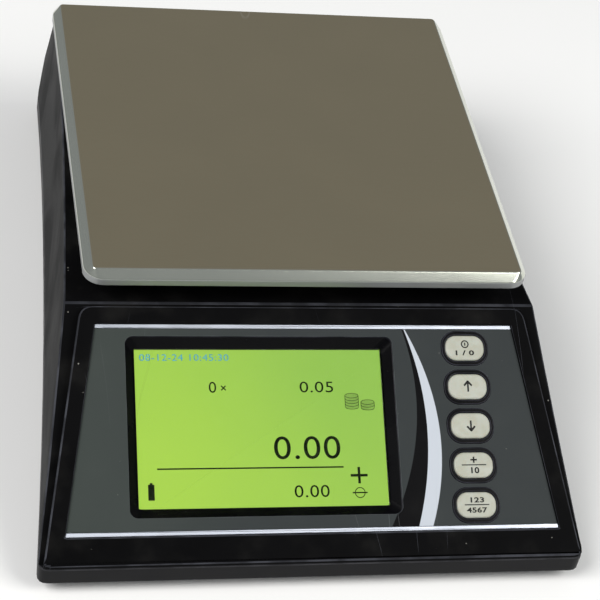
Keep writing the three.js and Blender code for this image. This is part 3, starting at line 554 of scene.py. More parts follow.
# ---- Circuit boards and battery ----
# Green fibreglass boards with copper tracks under the lacquer, one behind the keys and one on
# four legs in the tray, and a sealed battery in a dark case that stands behind the cell.
green_board, tree, shader = new_material("solder_mask")
place = object_place(tree)
track_sizes = {"Scale": 160, "Mortar Size": 0.06, "Brick Width": 0.9, "Row Height": 0.35}
tracks = node_in(tree, "TexBrick", {"Vector": place, **track_sizes}, offset=0.5, squash=0.7)
pads = node_in(tree, "TexVoronoi", {"Vector": place, "Scale": 210, "Randomness": 0.4})
pad_mask = math_node(tree, "LESS_THAN", pads.outputs["Distance"], 0.17)
weave = node_in(tree, "TexWave", {"Vector": place, "Scale": 420, "Distortion": 0.5})
lacquer = colour_mix(tree, tracks.outputs["Fac"], colour(18, 70, 40), colour(40, 112, 66))
tinned = colour_mix(tree, pad_mask, lacquer, colour(178, 176, 165))
handling = use_effect(tree, "handling", Rough=0.32, Spread=0.1, Scale=40)
paint(tree, shader, tinned, handling[0])
bumped(tree, shader, weave.outputs[0], 0.15, 0.1)

battery_plastic = moulded(
    "battery_case", colour(44, 48, 56), colour(110, 112, 116), 0.5, 1000, 0.35, spread=0.1
)
for node, slot, material in (
    ("main_board", "board_green", green_board),
    ("keypad_board", "board_green", green_board),
    ("battery", "battery_case", battery_plastic),
):
    fitted(node, node + "_fitted", "housing", slot, material, 0.25, 2, corner(50, 1.2))


# ---- Rear sockets ----
# A stamped plate behind the recess in the rear wall holds a barrel power socket in black
# plastic and a nine-way connector: a plated shell round a black insert with its contacts.
plate_metal = turned_metal("stamped_plate", colour(176, 177, 178), 0.36, 800, (12, 1, 1), 0.14)
socket_black = moulded("socket_black", colour(20, 20, 21), colour(74, 74, 76), 0.45, 2200, 0.25)
shell_plate = turned_metal(
    "plated_shell", colour(188, 188, 186), 0.26, 1600, (1, 1, 1), 0.08, colour(150, 140, 118)
)
for node, slot, material in (
    ("connector_plate", "steel_plate", plate_metal),
    ("power_inlet", "bezel_black", socket_black),
):
    fitted(node, node + "_fitted", "housing", slot, material, 0.2, 2, corner(50, 0.6))

SHELL_WALL, SHELL_DEPTH = 0.5, 1.6
PIN_STEP, PIN_RADIUS, PIN_LENGTH, PIN_DEEP = 2.7, 0.5, 1.2, 1.05
port_low, port_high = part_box("serial_port")
port_x, port_z = (port_low.x + port_high.x) / 2, (port_low.z + port_high.z) / 2


def mouth(face):
    """The connector's face that looks out of the rear wall."""
    return face.normal.y > 0.9 and face.calc_center_median().y > port_high.y - 0.4 * MM


port = solid_copy("serial_port", "serial_port_fitted")
round_edges(port, 0.3, 2, corner(50, 0.6))
pick_faces(port, mouth)
bpy.ops.mesh.inset(thickness=SHELL_WALL * MM, depth=0)
bpy.ops.mesh.extrude_region_move(TRANSFORM_OT_translate={"value": (0, -SHELL_DEPTH * MM, 0)})
leave_edit()
smooth(port, 30)
finish_piece(port, "housing", "steel_plate", shell_plate, "serial_port")

pins = []
deselect()
for rise, count in ((1.4, 5), (-1.4, 4)):
    for pin in range(count):
        along = (pin - (count - 1) / 2) * PIN_STEP
        bpy.ops.mesh.primitive_cylinder_add(
            vertices=12,
            radius=PIN_RADIUS * MM,
            depth=PIN_LENGTH * MM,
            rotation=(math.pi / 2, 0, 0),
            location=(port_x + along * MM, port_high.y - PIN_DEEP * MM, port_z + rise * MM),
        )
        pins.append(bpy.context.object)
joined("serial_contacts", pins)
contacts = new_piece("serial_contacts")
round_edges(contacts, 0.2, 2, corner(60))
smooth(contacts)
gold = turned_metal("contact_gold", colour(212, 178, 104), 0.28, 2000, (1, 1, 1), 0.05)
finish_piece(contacts, "housing", "steel_plate", gold)


# ---- Upper cover ----
# The large satin-black moulding: leaning walls, a flat deck and the raised surround of the
# sloping panel. Its corners are rounded by about a millimetre; the thin lines of light along
# them are painted highlight, in the lighter colour of the rounded edges.
TILT = math.radians(31)
PANEL_FOOT = Vector((0, -0.225, 0.0261))
DECK, DECK_HOLE = 103, 30
WALL_FOOT, SIDE_LEAN, REAR_LEAN = 22.1, 6, 26
SURROUND_OUT, SURROUND_SIDE, SURROUND_TOP = 1.5, 138, 146
FRONT_FACE = -223.5
NOSE_SIDE, NOSE_BACK, NOSE_TOP = 150, -217, 23.5
TOUCHING = 0.25


def panel_point(u, v, w):
    """Millimetres across, up and out of the sloping panel, as a place in the model."""
    return PANEL_FOOT + Matrix.Rotation(TILT, 3, "X") @ (Vector((u, v, w)) * MM)


def panel_place(point):
    """The same the other way round: where a point of the model is on the panel."""
    return (Matrix.Rotation(-TILT, 3, "X") @ (point - PANEL_FOOT)) / MM


def on_outline(point):
    """On the walls, the deck or the raised surround, and not on the front's low corners."""
    x, y, z = abs(point.x) / MM, point.y / MM, point.z / MM
    across, up, out = panel_place(point)
    risen = (z - WALL_FOOT) / (DECK - WALL_FOOT)
    if x > NOSE_SIDE and y < NOSE_BACK and z < NOSE_TOP:
        return False
    return (
        x > side_reach(point.y) - SIDE_LEAN * risen - TOUCHING
        or y > LENGTH / 2 - REAR_LEAN * risen - TOUCHING
        or y < FRONT_FACE
        or (abs(z - DECK) < 0.05 and x > DECK_HOLE)
        or (abs(out - SURROUND_OUT) < 0.06 and abs(across) > SURROUND_SIDE)
        or (up > SURROUND_TOP and out > -0.5)
    )


def outer_edge(edge):
    """Corners of the cover's outline, leaving out the shortest."""
    return sharp(edge, 25, 0.8) and all(on_outline(vert.co) for vert in edge.verts)


# Painted highlight: the light edge colour, 90, 92, 100, draws thin lines along the rounded corners.
cover_plastic = moulded(
    "cover_black", colour(11, 11, 12), colour(90, 92, 100), 0.42, 1700, 0.12, dust=0.6, shine=1.07, spread=0.1
)
cover = solid_copy("top_cover", "top_cover_moulded")
round_edges(cover, 1.0, 3, outer_edge)
round_edges(cover, 0.2, 2, lambda edge: sharp(edge, 60, 1.0) and not outer_edge(edge))
smooth(cover, 40)
finish_piece(cover, "housing", "cover_plastic", cover_plastic, "top_cover")


# ---- Front overlay ----
# A dark grey printed film glued into the panel's recess, with a white sweep and the black
# crescent beside it. Its grey turns lighter and greener towards the left: a painted reflection.
# The film has a fine matt emboss, and its cut edge is painted lighter as a highlight.
SWEEP_MIDDLE, SWEEP_HALF = 77.3, 61.2


def panel_axes(tree):
    """A place on the film, and its metres across and up the panel, for print that stays put."""
    inputs = {"Vector": object_place(tree), "Location": PANEL_FOOT, "Rotation": (TILT, 0, 0)}
    flat = node_in(tree, "Mapping", inputs, vector_type="TEXTURE")
    axes = node_in(tree, "SeparateXYZ", {0: flat.outputs[0]})
    return flat.outputs[0], axes.outputs[0], axes.outputs[1]


def sweep(tree, v, top, middle, bottom):
    """The across value of a curve through three places: at its top, middle and bottom."""
    from_middle = math_node(tree, "SUBTRACT", v, SWEEP_MIDDLE * MM)
    step = math_node(tree, "DIVIDE", from_middle, SWEEP_HALF * MM)
    bend = (top + bottom) / 2 - middle
    slope = (top - bottom) / 2
    square = times(tree, step, step)
    curved = math_node(tree, "MULTIPLY_ADD", square, bend * MM, middle * MM)
    return math_node(tree, "MULTIPLY_ADD", step, slope * MM, curved)


def past(tree, u, line):
    """0 to the left of a printed line and 1 to its right, with the ink's soft edge."""
    return ranged(tree, math_node(tree, "SUBTRACT", u, line), -0.12 * MM, 0.12 * MM, 0, 1)


film, tree, shader = new_material("printed_film")
flat, u, v = panel_axes(tree)
# Painted reflection: the grey fades lighter and greener towards the left, with random tone.
painted_reflection_fade = ranged(tree, u, -0.16, 0.02, 0, 1)
tone = math_node(tree, "MULTIPLY_ADD", noise(tree, flat, 9, 3.0), 0.3, painted_reflection_fade)
grey_with_painted_reflection = colour_mix(tree, tone, colour(64, 70, 67), colour(54, 58, 59))
in_crescent = past(tree, u, sweep(tree, v, 59.4, 65.0, 45.4))
in_arc = past(tree, u, sweep(tree, v, 60.7, 71.6, 62.3))
past_arc = past(tree, u, sweep(tree, v, 61.3, 79.3, 71.1))
inked = colour_mix(tree, in_crescent, grey_with_painted_reflection, colour(9, 9, 11))
whitened = colour_mix(tree, in_arc, inked, colour(192, 198, 207))
printed = colour_mix(tree, past_arc, whitened, grey_with_painted_reflection)
# Painted highlight: the cut edge is given a light blue-grey, along with some wear.
wear_and_highlight_mask = use_effect(tree, "edge_wear_and_highlight", Amount=0.7)
edge_highlighted = colour_mix(tree, wear_and_highlight_mask[0], printed, colour(120, 126, 130))
lines = use_effect(tree, "hairlines", Amount=0.5, Scale=12)
marked = colour_mix(tree, lines[0], edge_highlighted, colour(120, 122, 124))
settled = use_effect(tree, "dust", Amount=0.3, Specks=520)
dusty = colour_mix(tree, settled[0], marked, colour(170, 170, 165))
handling = use_effect(tree, "handling", Rough=0.38, Spread=0.1, Scale=20)
paint(tree, shader, dusty, handling[0])
emboss = use_effect(tree, "mould_grain", Scale=2600, Pits=0.3)
ink_step = math_node(tree, "SUBTRACT", in_crescent, past_arc)
relief = math_node(tree, "MULTIPLY_ADD", ink_step, 0.6, emboss[0])
bumped(tree, shader, relief, 0.14, 0.06)
shader.inputs["IOR"].default_value = 1.14
fitted(
    "front_overlay", "front_overlay_film", "housing", "overlay_film", film, 0.12, 2, corner(50, 0.3), 35
)


# ---- Trim bars ----
# Two thin bars of satin-silvered aluminium close the film's lower and upper edges. They are
# pressed in, proud of the film, with a rounded front that is brushed along its length.
silver = turned_metal(
    "satin_silver", colour(212, 217, 228), 0.42, 1300, (1, 24, 24), 0.04, colour(194, 200, 212)
)
for node in ("trim_bar_lower", "trim_bar_upper"):
    fitted(node, node + "_pressed", "housing", "trim_silver", silver, 0.3, 3, corner(50, 1.2), 40)


# ---- Display: lamp-lit module, window and black frame ----
# A graphic module with a yellow-green lamp lies under a clear acrylic window. The black frame
# slopes in to it from the film; the light on its rounded corners and fold lines is partly
# painted highlight, in their lighter edge colour.
LIT_LEFT, LIT_RIGHT, LIT_LOW, LIT_HIGH = -106.2, 46.8, 30.2, 127.2
MODULE_W = -9.4
MODULE_RIM = 4.6
HALF_DOT, GAP_EDGE, GAP_MIDDLE = 0.096, 0.016, 0.004

module_metal = turned_metal("module_tin", colour(168, 168, 164), 0.4, 900, (8, 1, 1), 0.12)
module = solid_copy("display_module", "display_module_built")
round_edges(module, 0.4, 2, corner(60))
pick_faces(module, lambda face: face.normal.z > 0.8 and face.calc_area() > 0.01)
bpy.ops.mesh.inset(thickness=MODULE_RIM * MM, depth=0)
bpy.ops.mesh.inset(thickness=0.3 * MM, depth=-0.15 * MM)
leave_edit()
lamp_face = [polygon.index for polygon in module.data.polygons if polygon.select]
smooth(module, 30)
finish_piece(module, "housing", "display_panel", module_metal, "display_module")

lamp, tree, shader = new_material("lamp_lit_glass")
flat, u, v = panel_axes(tree)
across = ranged(tree, u, LIT_LEFT * MM, LIT_RIGHT * MM, 0, 0.65)
up = ranged(tree, v, LIT_LOW * MM, LIT_HIGH * MM, 0, 0.35)
mottle = math_node(tree, "MULTIPLY_ADD", noise(tree, flat, 16, 2.0), 0.3, -0.15)
fall = math_node(tree, "ADD", math_node(tree, "ADD", across, up), mottle)
glow = colour_mix(tree, fall, colour(182, 224, 84), colour(154, 201, 88))
columns = math_node(tree, "PINGPONG", u, HALF_DOT * MM)
rows = math_node(tree, "PINGPONG", v, HALF_DOT * MM)
nearest = math_node(tree, "MINIMUM", columns, rows)
gap = ranged(tree, nearest, GAP_MIDDLE * MM, GAP_EDGE * MM, 0.06, 0)
dotted = colour_mix(tree, gap, glow, colour(40, 60, 20))
tree.links.new(dotted, shader.inputs["Emission Color"])
shader.inputs["Emission Strength"].default_value = 0.93
unlit = colour_mix(tree, mottle, colour(26, 34, 18), colour(20, 28, 14))
tree.links.new(unlit, shader.inputs["Base Color"])
shader.inputs["Roughness"].default_value = 0.35
shader.inputs["IOR"].default_value = 1.12
module.data.materials.append(lamp)
for index in lamp_face:
    module.data.polygons[index].material_index = 1

acrylic, tree, shader = new_material("clear_acrylic")
shader.inputs["Metallic"].default_value = 0.0
shader.inputs["Transmission Weight"].default_value = 1.0
shader.inputs["IOR"].default_value = 1.2
haze = ranged(tree, noise(tree, object_place(tree), 45, 4.0), 0.45, 0.8, 0.0, 0.006)
lines = use_effect(tree, "hairlines", Amount=0.22, Scale=6)
clear = colour_mix(tree, lines[0], colour(250, 253, 251), colour(200, 205, 202))
paint(tree, shader, clear, haze)
fitted("display_window", "display_window_cut", "housing", "window_clear", acrylic, 0.35, 2, corner(60))

# Painted highlight in part: the light edge colour, 70, 70, 80, brightens the rounded corners.
frame_black = moulded(
    "frame_black", colour(5, 5, 7), colour(70, 70, 80), 0.26, 2200, 0.1, dust=0.2, shine=1.17, spread=0.1
)
fitted(
    "display_frame", "display_frame_moulded", "housing", "bezel_black", frame_black,
    0.35, 3, corner(22, 0.9), 40,
)


# ---- What the display shows ----
# Dark liquid-crystal figures a hair above the lamp glass: date and time in blue, counts, the
# weight, a ruled line, a plus, a ring on a bar, two shaded stacks of coins and a battery.
INK_W = MODULE_W + 0.02
SHADE_W = INK_W - 0.03
INK_THICK = 0.05
OUT_OF_PANEL = panel_point(0, 0, 1) - panel_point(0, 0, 0)


def crystal(name, dark, light):
    """A liquid-crystal tone, a little uneven, lit through from the lamp behind it."""
    ink, tree, shader = new_material(name)
    uneven = noise(tree, object_place(tree), 260, 3.0)
    shade = colour_mix(tree, uneven, dark, light)
    paint(tree, shader, shade, ranged(tree, uneven, 0.3, 0.7, 0.4, 0.6))
    tree.links.new(shade, shader.inputs["Emission Color"])
    shader.inputs["Emission Strength"].default_value = 0.5
    shader.inputs["IOR"].default_value = 1.1
    return ink


crystal_dark = crystal("liquid_crystal_dark", colour(8, 14, 4), colour(22, 32, 12))
crystal_blue = crystal("liquid_crystal_blue", colour(40, 118, 168), colour(84, 160, 160))
crystal_pale = crystal("liquid_crystal_pale", colour(110, 143, 64), colour(118, 150, 70))


def figures(name, words, u, v, height, wide, w=INK_W, thick=INK_THICK, bold=0.0):
    """Digits from plain strokes, their lower right corner at u, v on the panel."""
    deselect()
    bpy.ops.object.text_add(location=panel_point(u, v, w), rotation=(TILT, 0, 0))
    text = bpy.context.object
    text.data.body = words
    text.data.align_x = "RIGHT"
    text.data.size = height * MM / 0.7
    text.data.space_character = 1.06
    text.data.extrude = thick / 2 * MM
    text.data.offset = bold * text.data.size
    text.data.resolution_u = 5
    text.scale.x = wide
    bpy.ops.object.convert(target="MESH")
    piece = new_piece(name)
    edit_mesh(piece)
    bpy.ops.mesh.select_all(action="SELECT")
    bpy.ops.mesh.remove_doubles(threshold=0.002 * MM)
    turn_outward()
    return piece


def upright(edge):
    """The four short edges of a stroke, which stand straight out of the panel."""
    along = (edge.verts[1].co - edge.verts[0].co).normalized()
    return abs(along.dot(OUT_OF_PANEL.normalized())) > 0.9


def stroke(name, u0, v0, u1, v1, w=INK_W, thick=INK_THICK, radius=0.15):
    """One straight stroke with its corners rounded."""
    deselect()
    bpy.ops.mesh.primitive_cube_add(
        size=MM, location=panel_point((u0 + u1) / 2, (v0 + v1) / 2, w), rotation=(TILT, 0, 0)
    )
    bpy.context.object.scale = (abs(u1 - u0), abs(v1 - v0), thick)
    piece = new_piece(name)
    pick_edges(piece, upright)
    bpy.ops.mesh.bevel(offset=radius * MM, segments=3, affect="EDGES", clamp_overlap=True)
    leave_edit()
    return piece


def turned_stroke(piece, degrees, u, v, w, shift=(0, 0)):
    """Turns a stroke in the plane of the panel about u, v and then moves it by shift."""
    centre = panel_point(u, v, w)
    moved = panel_point(shift[0], shift[1], 0) - panel_point(0, 0, 0)
    turn = Matrix.Rotation(math.radians(degrees), 4, OUT_OF_PANEL)
    piece.data.transform(Matrix.Translation(centre + moved) @ turn @ Matrix.Translation(-centre))
    return piece


def oval_ring(name, u, v, across, tall, line, w=INK_W, thick=INK_THICK, arc=(0, 360)):
    """A thin ring, or part of one: a circle's edge drawn in and filled, then thickened."""
    deselect()
    bpy.ops.mesh.primitive_circle_add(
        vertices=36, radius=MM, fill_type="NOTHING", location=panel_point(u, v, w), rotation=(TILT, 0, 0)
    )
    piece = bpy.context.object
    piece.scale = (across / 2, tall / 2, 1)
    mesh = edit_mesh(piece)
    for vert in mesh.verts:
        turn = math.degrees(math.atan2(vert.co.y, vert.co.x)) % 360
        vert.select_set(not arc[0] - 1 <= turn <= arc[1] + 1)
    mesh.select_flush_mode()
    bmesh.update_edit_mesh(piece.data)
    bpy.ops.mesh.delete(type="VERT")
    bpy.ops.mesh.select_all(action="SELECT")
    bpy.ops.mesh.extrude_edges_move()
    leave_edit()
    for vert in piece.data.vertices:
        if vert.select:
            vert.co.x *= 1 - 2 * line / across
            vert.co.y *= 1 - 2 * line / tall
    new_piece(name)
    bpy.ops.object.modifier_add(type="SOLIDIFY")
    piece.modifiers[-1].thickness = thick * MM
    piece.modifiers[-1].offset = 0
    bpy.ops.object.modifier_apply(modifier=piece.modifiers[-1].name)
    edit_mesh(piece)
    turn_outward()
    return piece


clock = figures("lcd_clock", "08-12-24 10:45:30", -47.8, 120.6, 4.1, 1.2)
finish_piece(clock, "housing", "display_panel", crystal_blue)

shown = [
    figures("lcd_count", "0", -56.1, 100.8, 6.8, 1.06),
    figures("lcd_unit_value", "0.05", 17.0, 100.8, 6.8, 1.26),
    figures("lcd_weight", "0.00", 19.3, 59.7, 14.1, 1.17, thick=0.06),
    figures("lcd_total", "0.00", 10.7, 36.3, 7.4, 1.17),
    stroke("lcd_rule", -94.1, 54.0, 19.9, 54.9),
    stroke("lcd_plus_bar", 24.0, 48.4, 34.6, 50.0),
    stroke("lcd_plus_post", 28.5, 44.2, 30.1, 54.3),
    stroke("lcd_cell_body", -99.9, 35.7, -96.1, 45.2),
    stroke("lcd_cell_tip", -98.8, 45.0, -97.2, 46.2),
    stroke("lcd_step_mark", 24.6, 38.2, 34.0, 39.0),
    oval_ring("lcd_small_coin", 29.3, 38.6, 6.6, 6.6, 0.5),
]
for name, degrees in (("lcd_times_a", 45), ("lcd_times_b", -45)):
    bar = stroke(name, -54.0, 103.3, -50.0, 104.0)
    shown.append(turned_stroke(bar, degrees, -52.0, 103.65, INK_W))

COIN_WIDE, COIN_TALL, COIN_STEP, COIN_LINE = 8.6, 3.2, 1.75, 0.28
SIDE_LINE, SIDE_PLACE = 0.13, 4.25
for stack, (middle, foot, layers) in enumerate(((27.5, 91.6, 5), (37.4, 91.0, 3))):
    for layer in range(layers):
        arc = (0, 360) if layer == layers - 1 else (180, 360)
        level = foot + layer * COIN_STEP
        name = f"lcd_coin_{stack}_{layer}"
        shown.append(oval_ring(name, middle, level, COIN_WIDE, COIN_TALL, COIN_LINE, arc=arc))
    for side in (middle - SIDE_PLACE, middle + SIDE_PLACE):
        top = foot + (layers - 1) * COIN_STEP
        shown.append(stroke(f"lcd_side_{stack}", side - SIDE_LINE, foot, side + SIDE_LINE, top))
finish_piece(joined("lcd_figures", shown), "housing", "display_panel", crystal_dark)

shades = [
    stroke("lcd_shade_0", 23.2, 90.1, 31.8, 100.0, SHADE_W, 0.02, 1.5),
    stroke("lcd_shade_1", 33.1, 89.5, 41.7, 95.9, SHADE_W, 0.02, 1.5),
]
finish_piece(joined("lcd_coin_shades", shades), "housing", "display_panel", crystal_pale)


# ---- Keypad rims ----
# One black plate under the film with a raised rim round each key, moulded in the same glossy
# black as the display frame. The tops of the rims are rounded over and rub first.
RIM_FOOT, CAP_FOOT = 0.7, 1.5


def panel_edge(lowest):
    """A test for sharp corners that stand further out of the panel than lowest."""
    return lambda edge: sharp(edge, 50) and all(panel_place(vert.co).z > lowest for vert in edge.verts)


fitted(
    "keypad_frame", "keypad_rims_moulded", "housing", "bezel_black", frame_black,
    0.55, 3, panel_edge(RIM_FOOT), 35,
)


# ---- Keys ----
# Five cream caps, each a box with nearly half-round ends and a well rounded top edge, on a
# foot that holds it under the plate. Each rides on its own joint; its mark is printed black.
KEY_COLUMN = 99.1
KEY_FIRST, KEY_STEP = 28.2, 24.5
KEY_TOP = 1.6

key_cream, tree, shader = new_material("key_cream")
handling = use_effect(tree, "handling", Rough=0.45, Spread=0.12, Scale=60)
wear_and_highlight_mask = use_effect(tree, "edge_wear_and_highlight", Amount=0.8, Scale=180)
grain = use_effect(tree, "mould_grain", Scale=3400, Pits=0.4)
settled = use_effect(tree, "dust", Amount=0.25, Specks=700)
face = colour_mix(tree, handling["Smear"], colour(181, 184, 175), colour(176, 179, 169))
grimy = colour_mix(tree, wear_and_highlight_mask[0], face, colour(168, 168, 152))
dusty = colour_mix(tree, settled[0], grimy, colour(120, 118, 108))
paint(tree, shader, dusty, handling[0])
bumped(tree, shader, grain[0], 0.15, 0.05)
shader.inputs["Subsurface Weight"].default_value = 0.04
shader.inputs["Subsurface Scale"].default_value = 0.002

for node in ("key_view", "key_add", "key_down", "key_up", "key_power"):
    fitted(node, node + "_cap", node, "key_cream", key_cream, 1.3, 5, panel_edge(CAP_FOOT), 40)


# ---- Key marks ----
# Screen-printed black marks on the caps: a ring and post for power, two arrows, a plus over
# a number, and two rows of numbers. Each mark is a thin skin of ink and moves with its key.
print_black = moulded("print_black", colour(16, 16, 15), colour(60, 60, 56), 0.5, 2600, 0.1, dust=0.1)
MARK_W = KEY_TOP + 0.01
MARK_THICK = 0.08
MARK_BOLD = 0.03
ARROW_POST, ARROW_HEAD, ARROW_REACH = 0.55, 0.6, 3.2
RULE_HALF = 7.8


def mark_stroke(name, centre_v, half, low, high):
    """A stroke on a cap: half its width each side of the column, low to high of its centre."""
    left, right = KEY_COLUMN - half, KEY_COLUMN + half
    return stroke(name, left, centre_v + low, right, centre_v + high, MARK_W, MARK_THICK)


def mark_figures(name, words, reach, v, height, wide):
    """Figures on a cap that end at reach millimetres to the right of the column."""
    return figures(name, words, KEY_COLUMN + reach, v, height, wide, MARK_W, MARK_THICK, MARK_BOLD)


def key_mark(node, parts):
    finish_piece(joined(node + "_mark", parts), node, "key_cream", print_black)


def arrow(name, v, way):
    """An upright arrow: a post and two strokes turned to meet at its point."""
    parts = [mark_stroke(name + "_post", v, ARROW_POST, -3.3, 3.1)]
    point = v + way * ARROW_REACH
    for side in (-1, 1):
        head = mark_stroke(f"{name}_head_{side}", point, ARROW_HEAD, -2.0, 2.0)
        shift = (side * 1.15, -way * 1.25)
        parts.append(turned_stroke(head, 42 * side * way, KEY_COLUMN, point, MARK_W, shift))
    return parts


view_v, add_v, down_v, up_v, power_v = [KEY_FIRST + KEY_STEP * place for place in range(5)]
power_ring = oval_ring("power_ring", KEY_COLUMN, power_v + 2.3, 5.0, 5.0, 0.75, MARK_W, MARK_THICK)
key_mark(
    "key_power",
    [
        power_ring,
        mark_stroke("power_post", power_v, 0.4, 1.3, 3.3),
        mark_figures("power_numbers", "1 / 0", 5.6, power_v - 4.6, 2.9, 1.6),
    ],
)
key_mark("key_up", arrow("up", up_v, 1))
key_mark("key_down", arrow("down", down_v, -1))
key_mark(
    "key_add",
    [
        mark_stroke("add_bar", add_v, 2.1, 2.7, 3.7),
        mark_stroke("add_post", add_v, 0.5, 1.3, 5.1),
        mark_stroke("add_rule", add_v, RULE_HALF, -0.3, 0.35),
        mark_figures("add_number", "10", 3.1, add_v - 5.0, 3.5, 1.2),
    ],
)
key_mark(
    "key_view",
    [
        mark_figures("view_numbers", "123", 5.0, view_v + 1.5, 3.0, 1.5),
        mark_stroke("view_rule", view_v, RULE_HALF, -0.3, 0.35),
        mark_figures("view_numbers_low", "4567", 6.0, view_v - 4.7, 3.0, 1.4),
    ],
)


# ---- Spirit level ----
# A round bubble level pressed into the rear of the deck: a black ring, and a domed glass of
# yellow-green liquid with its bubble and the target circle printed under it.
TARGET_RADIUS, TARGET_HALF_LINE = 2.9, 0.16
BUBBLE_RADIUS, BUBBLE_HALF_RIM = 2.1, 0.12

fitted("level_ring", "level_ring_moulded", "housing", "bezel_black", frame_black, 0.25, 2, corner(40))

level_low, level_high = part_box("level_vial")
level_middle = ((level_low.x + level_high.x) / 2, (level_low.y + level_high.y) / 2, 0)


def vector_node(tree, operation, first, second=(0, 0, 0)):
    return node_in(tree, "VectorMath", {0: first, 1: second}, operation=operation)


def ring_mask(tree, radius, target, half_line):
    """1 on a circle of the target radius, as wide as two half lines."""
    off_ring = math_node(tree, "ABSOLUTE", math_node(tree, "SUBTRACT", radius, target * MM))
    return math_node(tree, "LESS_THAN", off_ring, half_line * MM)


liquid, tree, shader = new_material("level_liquid")
centred = vector_node(tree, "SUBTRACT", object_place(tree), level_middle)
flat = vector_node(tree, "MULTIPLY", centred.outputs[0], (1, 1, 0)).outputs[0]
from_middle = vector_node(tree, "LENGTH", flat).outputs[1]
from_bubble = vector_node(tree, "DISTANCE", flat, (0.6 * MM, 0.4 * MM, 0)).outputs[1]
bubble = ranged(tree, from_bubble, 1.9 * MM, 2.2 * MM, 0.7, 0)
tint = colour_mix(tree, bubble, colour(176, 204, 52), colour(226, 240, 150))
bubble_rim = ring_mask(tree, from_bubble, BUBBLE_RADIUS, BUBBLE_HALF_RIM)
rimmed = colour_mix(tree, bubble_rim, tint, colour(96, 120, 20))
printed = ring_mask(tree, from_middle, TARGET_RADIUS, TARGET_HALF_LINE)
marked = colour_mix(tree, printed, rimmed, colour(20, 22, 16))
marks = use_effect(tree, "handling", Rough=0.1, Spread=0.08, Scale=80)
paint(tree, shader, marked, marks[0])
shader.inputs["Coat Weight"].default_value = 0.6
vial = solid_copy("level_vial", "level_vial_glass")
smooth(vial, 40)
finish_piece(vial, "housing", "level_liquid", liquid, "level_vial")


# ---- Weighing platform ----
# The load cell's free end carries a milled riser and a cast aluminium cross through a hole in
# the deck. Four rubber cushions on its arms take the pan. The casting is sandy and ribbed.
cast_alloy = moulded("cast_alloy", colour(150, 151, 152), colour(205, 206, 208), 0.48, 1100, 0.6, dust=0.8)
cast_alloy.node_tree.nodes["Principled BSDF"].inputs["Metallic"].default_value = 0.9
cushion_rubber = moulded(
    "cushion_rubber", colour(24, 24, 24), colour(70, 68, 66), 0.8, 900, 0.5, spread=0.06
)
platform_pieces = [
    ("platform_riser", "cast_alu", milled_alloy, 0.5),
    ("platform_frame", "cast_alu", cast_alloy, 0.9),
    ("cell_bolt_upper_1", "bolt_steel", bolt_steel, 0.25),
    ("cell_bolt_upper_2", "bolt_steel", bolt_steel, 0.25),
]
for cushion in range(1, 5):
    platform_pieces.append((f"pan_cushion_{cushion}", "rubber_black", cushion_rubber, 0.5))
for node, slot, material, width in platform_pieces:
    fitted(node, node + "_fitted", "platform", slot, material, width, 3, corner(50, 1.0), 35)


# ---- Weighing pan ----
# A flat tray lid of 1.5 mm stainless steel, folded down on all sides: a sloping band and a
# short upright hem. It is cross-brushed on top, and the folds are polished bright.
PAN_TOP = 132.0
BAND_FOOT = 127.2
HEM_TOP = 124


def all_near(edge, height, within):
    return all(abs(vert.co.z / MM - height) < within for vert in edge.verts)


def hem_edge(edge):
    return sharp(edge, 50) and all(vert.co.z / MM < HEM_TOP for vert in edge.verts)


pan = solid_copy("weighing_pan", "weighing_pan_folded")
round_edges(pan, 0.7, 3, lambda edge: sharp(edge, 20) and all_near(edge, PAN_TOP, 0.05))
round_edges(pan, 0.5, 3, lambda edge: sharp(edge, 15) and all_near(edge, BAND_FOOT, 0.3))
round_edges(pan, 0.3, 2, hem_edge)
smooth(pan, 50)

steel, tree, shader = new_material("brushed_stainless")
shader.inputs["Metallic"].default_value = 1.0
place = object_place(tree)
up = facing_up(tree)
on_top = ranged(tree, up, 0.93, 0.995, 0, 1)
on_hem = ranged(tree, up, 0.2, 0.5, 1, 0)
drawn = mapped(tree, place, Scale=(1, 60, 1))
broad = times(tree, noise(tree, drawn, 70, 6.0), 0.5)
strokes = math_node(tree, "MULTIPLY_ADD", noise(tree, drawn, 340, 3.0), 0.5, broad)
clouds = noise(tree, place, 12, 4.0)
top_tone = colour_mix(tree, strokes, colour(182, 170, 142), colour(196, 184, 156))
clouded = ranged(tree, clouds, 0.4, 0.7, 0, 0.2)
top_cloud = colour_mix(tree, clouded, top_tone, colour(182, 171, 144))
lines = use_effect(tree, "hairlines", Amount=0.5, Scale=7)
scratched = colour_mix(tree, lines[0], top_cloud, colour(214, 206, 186))
settled = use_effect(tree, "dust", Amount=0.25, Specks=380)
dusty = colour_mix(tree, settled[0], scratched, colour(178, 176, 168))
# Painted shade: upright faces, the hem, get a darker grey than the sloping band.
bright_band = colour_mix(tree, clouds, colour(224, 226, 214), colour(212, 216, 204))
band_and_shaded_hem = colour_mix(tree, on_hem, bright_band, colour(150, 152, 152))
folded = math_node(tree, "MULTIPLY_ADD", on_hem, 0.22, 0.18)
polish = math_node(tree, "MULTIPLY_ADD", on_top, 0.2, folded)
handling = use_effect(tree, "handling", Rough=0.0, Spread=0.02, Scale=10)
roughness = math_node(tree, "ADD", polish, handling[0])
paint(tree, shader, colour_mix(tree, on_top, band_and_shaded_hem, dusty), roughness)
bumped(tree, shader, times(tree, strokes, on_top), 0.06, 0.05)
finish_piece(pan, "pan", "pan_steel", steel, "weighing_pan")


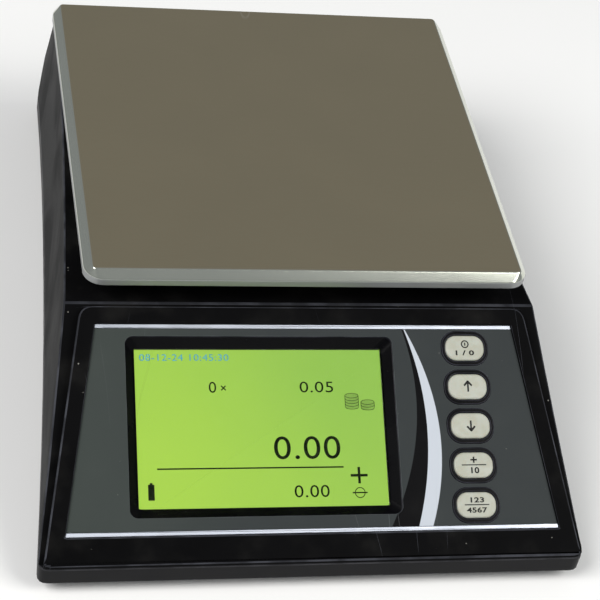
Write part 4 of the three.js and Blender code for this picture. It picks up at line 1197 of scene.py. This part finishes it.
# ---- Camera, floor and light ----
# The scale stands on a pale matt table under two large soft lamps, seen from the front and
# above, turned a little to its left and tilted with the hand that holds the camera.
CAMERA_PLACE = (-0.2764, -0.9514, 0.9237)
SENSOR = 36
LENS_TO_SENSOR = 3.3156
FLOOR_SIZE, FLOOR_HEIGHT = 9, -0.2

ahead = Vector((0.22402, 0.70686, -0.67094)).normalized()
right = Vector((0.97456, -0.15784, 0.15910)).normalized()
right = (right - ahead * right.dot(ahead)).normalized()
above = right.cross(ahead)
turn = Matrix((right, above, -ahead)).transposed().to_4x4()
deselect()
bpy.ops.object.camera_add(location=CAMERA_PLACE, rotation=turn.to_euler())
camera = bpy.context.object
camera.data.sensor_width = SENSOR
camera.data.lens = LENS_TO_SENSOR * SENSOR
camera.data.clip_start = 0.05
camera.data.clip_end = 50
bpy.context.scene.camera = camera

paper, tree, shader = new_material("pale_matt")
tone = noise(tree, object_place(tree), 5, 2.0)
pale = colour_mix(tree, tone, colour(246, 246, 246), colour(250, 250, 250))
tree.links.new(pale, shader.inputs["Base Color"])
shader.inputs["Roughness"].default_value = 0.85
deselect()
bpy.ops.mesh.primitive_plane_add(size=FLOOR_SIZE, location=(0, 0, FLOOR_HEIGHT * MM))
floor = new_piece("pale_table")
floor.data.materials.append(paper)

world = bpy.data.worlds.new("studio")
bpy.context.scene.world = world
world.use_nodes = True
background = world.node_tree.nodes["Background"]
background.inputs["Color"].default_value = (0.92, 0.96, 1.0, 1)
background.inputs["Strength"].default_value = 0.28


def soft_lamp(name, place, aim, power, tint):
    """A square lamp two metres across, pointed at aim."""
    bpy.ops.object.light_add(type="AREA", location=place)
    light = bpy.context.object
    light.name = name
    light.rotation_euler = (Vector(aim) - Vector(place)).to_track_quat("-Z", "Y").to_euler()
    light.data.shape = "RECTANGLE"
    light.data.size = 2.0
    light.data.size_y = 2.0
    light.data.energy = power
    light.data.color = tint


soft_lamp("lamp_left", (-2.3, -1.0, 2.7), (0, 0, 0), 98, (1.0, 0.985, 0.96))
soft_lamp("lamp_right", (2.2, -1.5, 2.6), (0.1, 0, 0), 72, (1.0, 0.99, 0.95))
bpy.context.scene.view_settings.view_transform = "Standard"
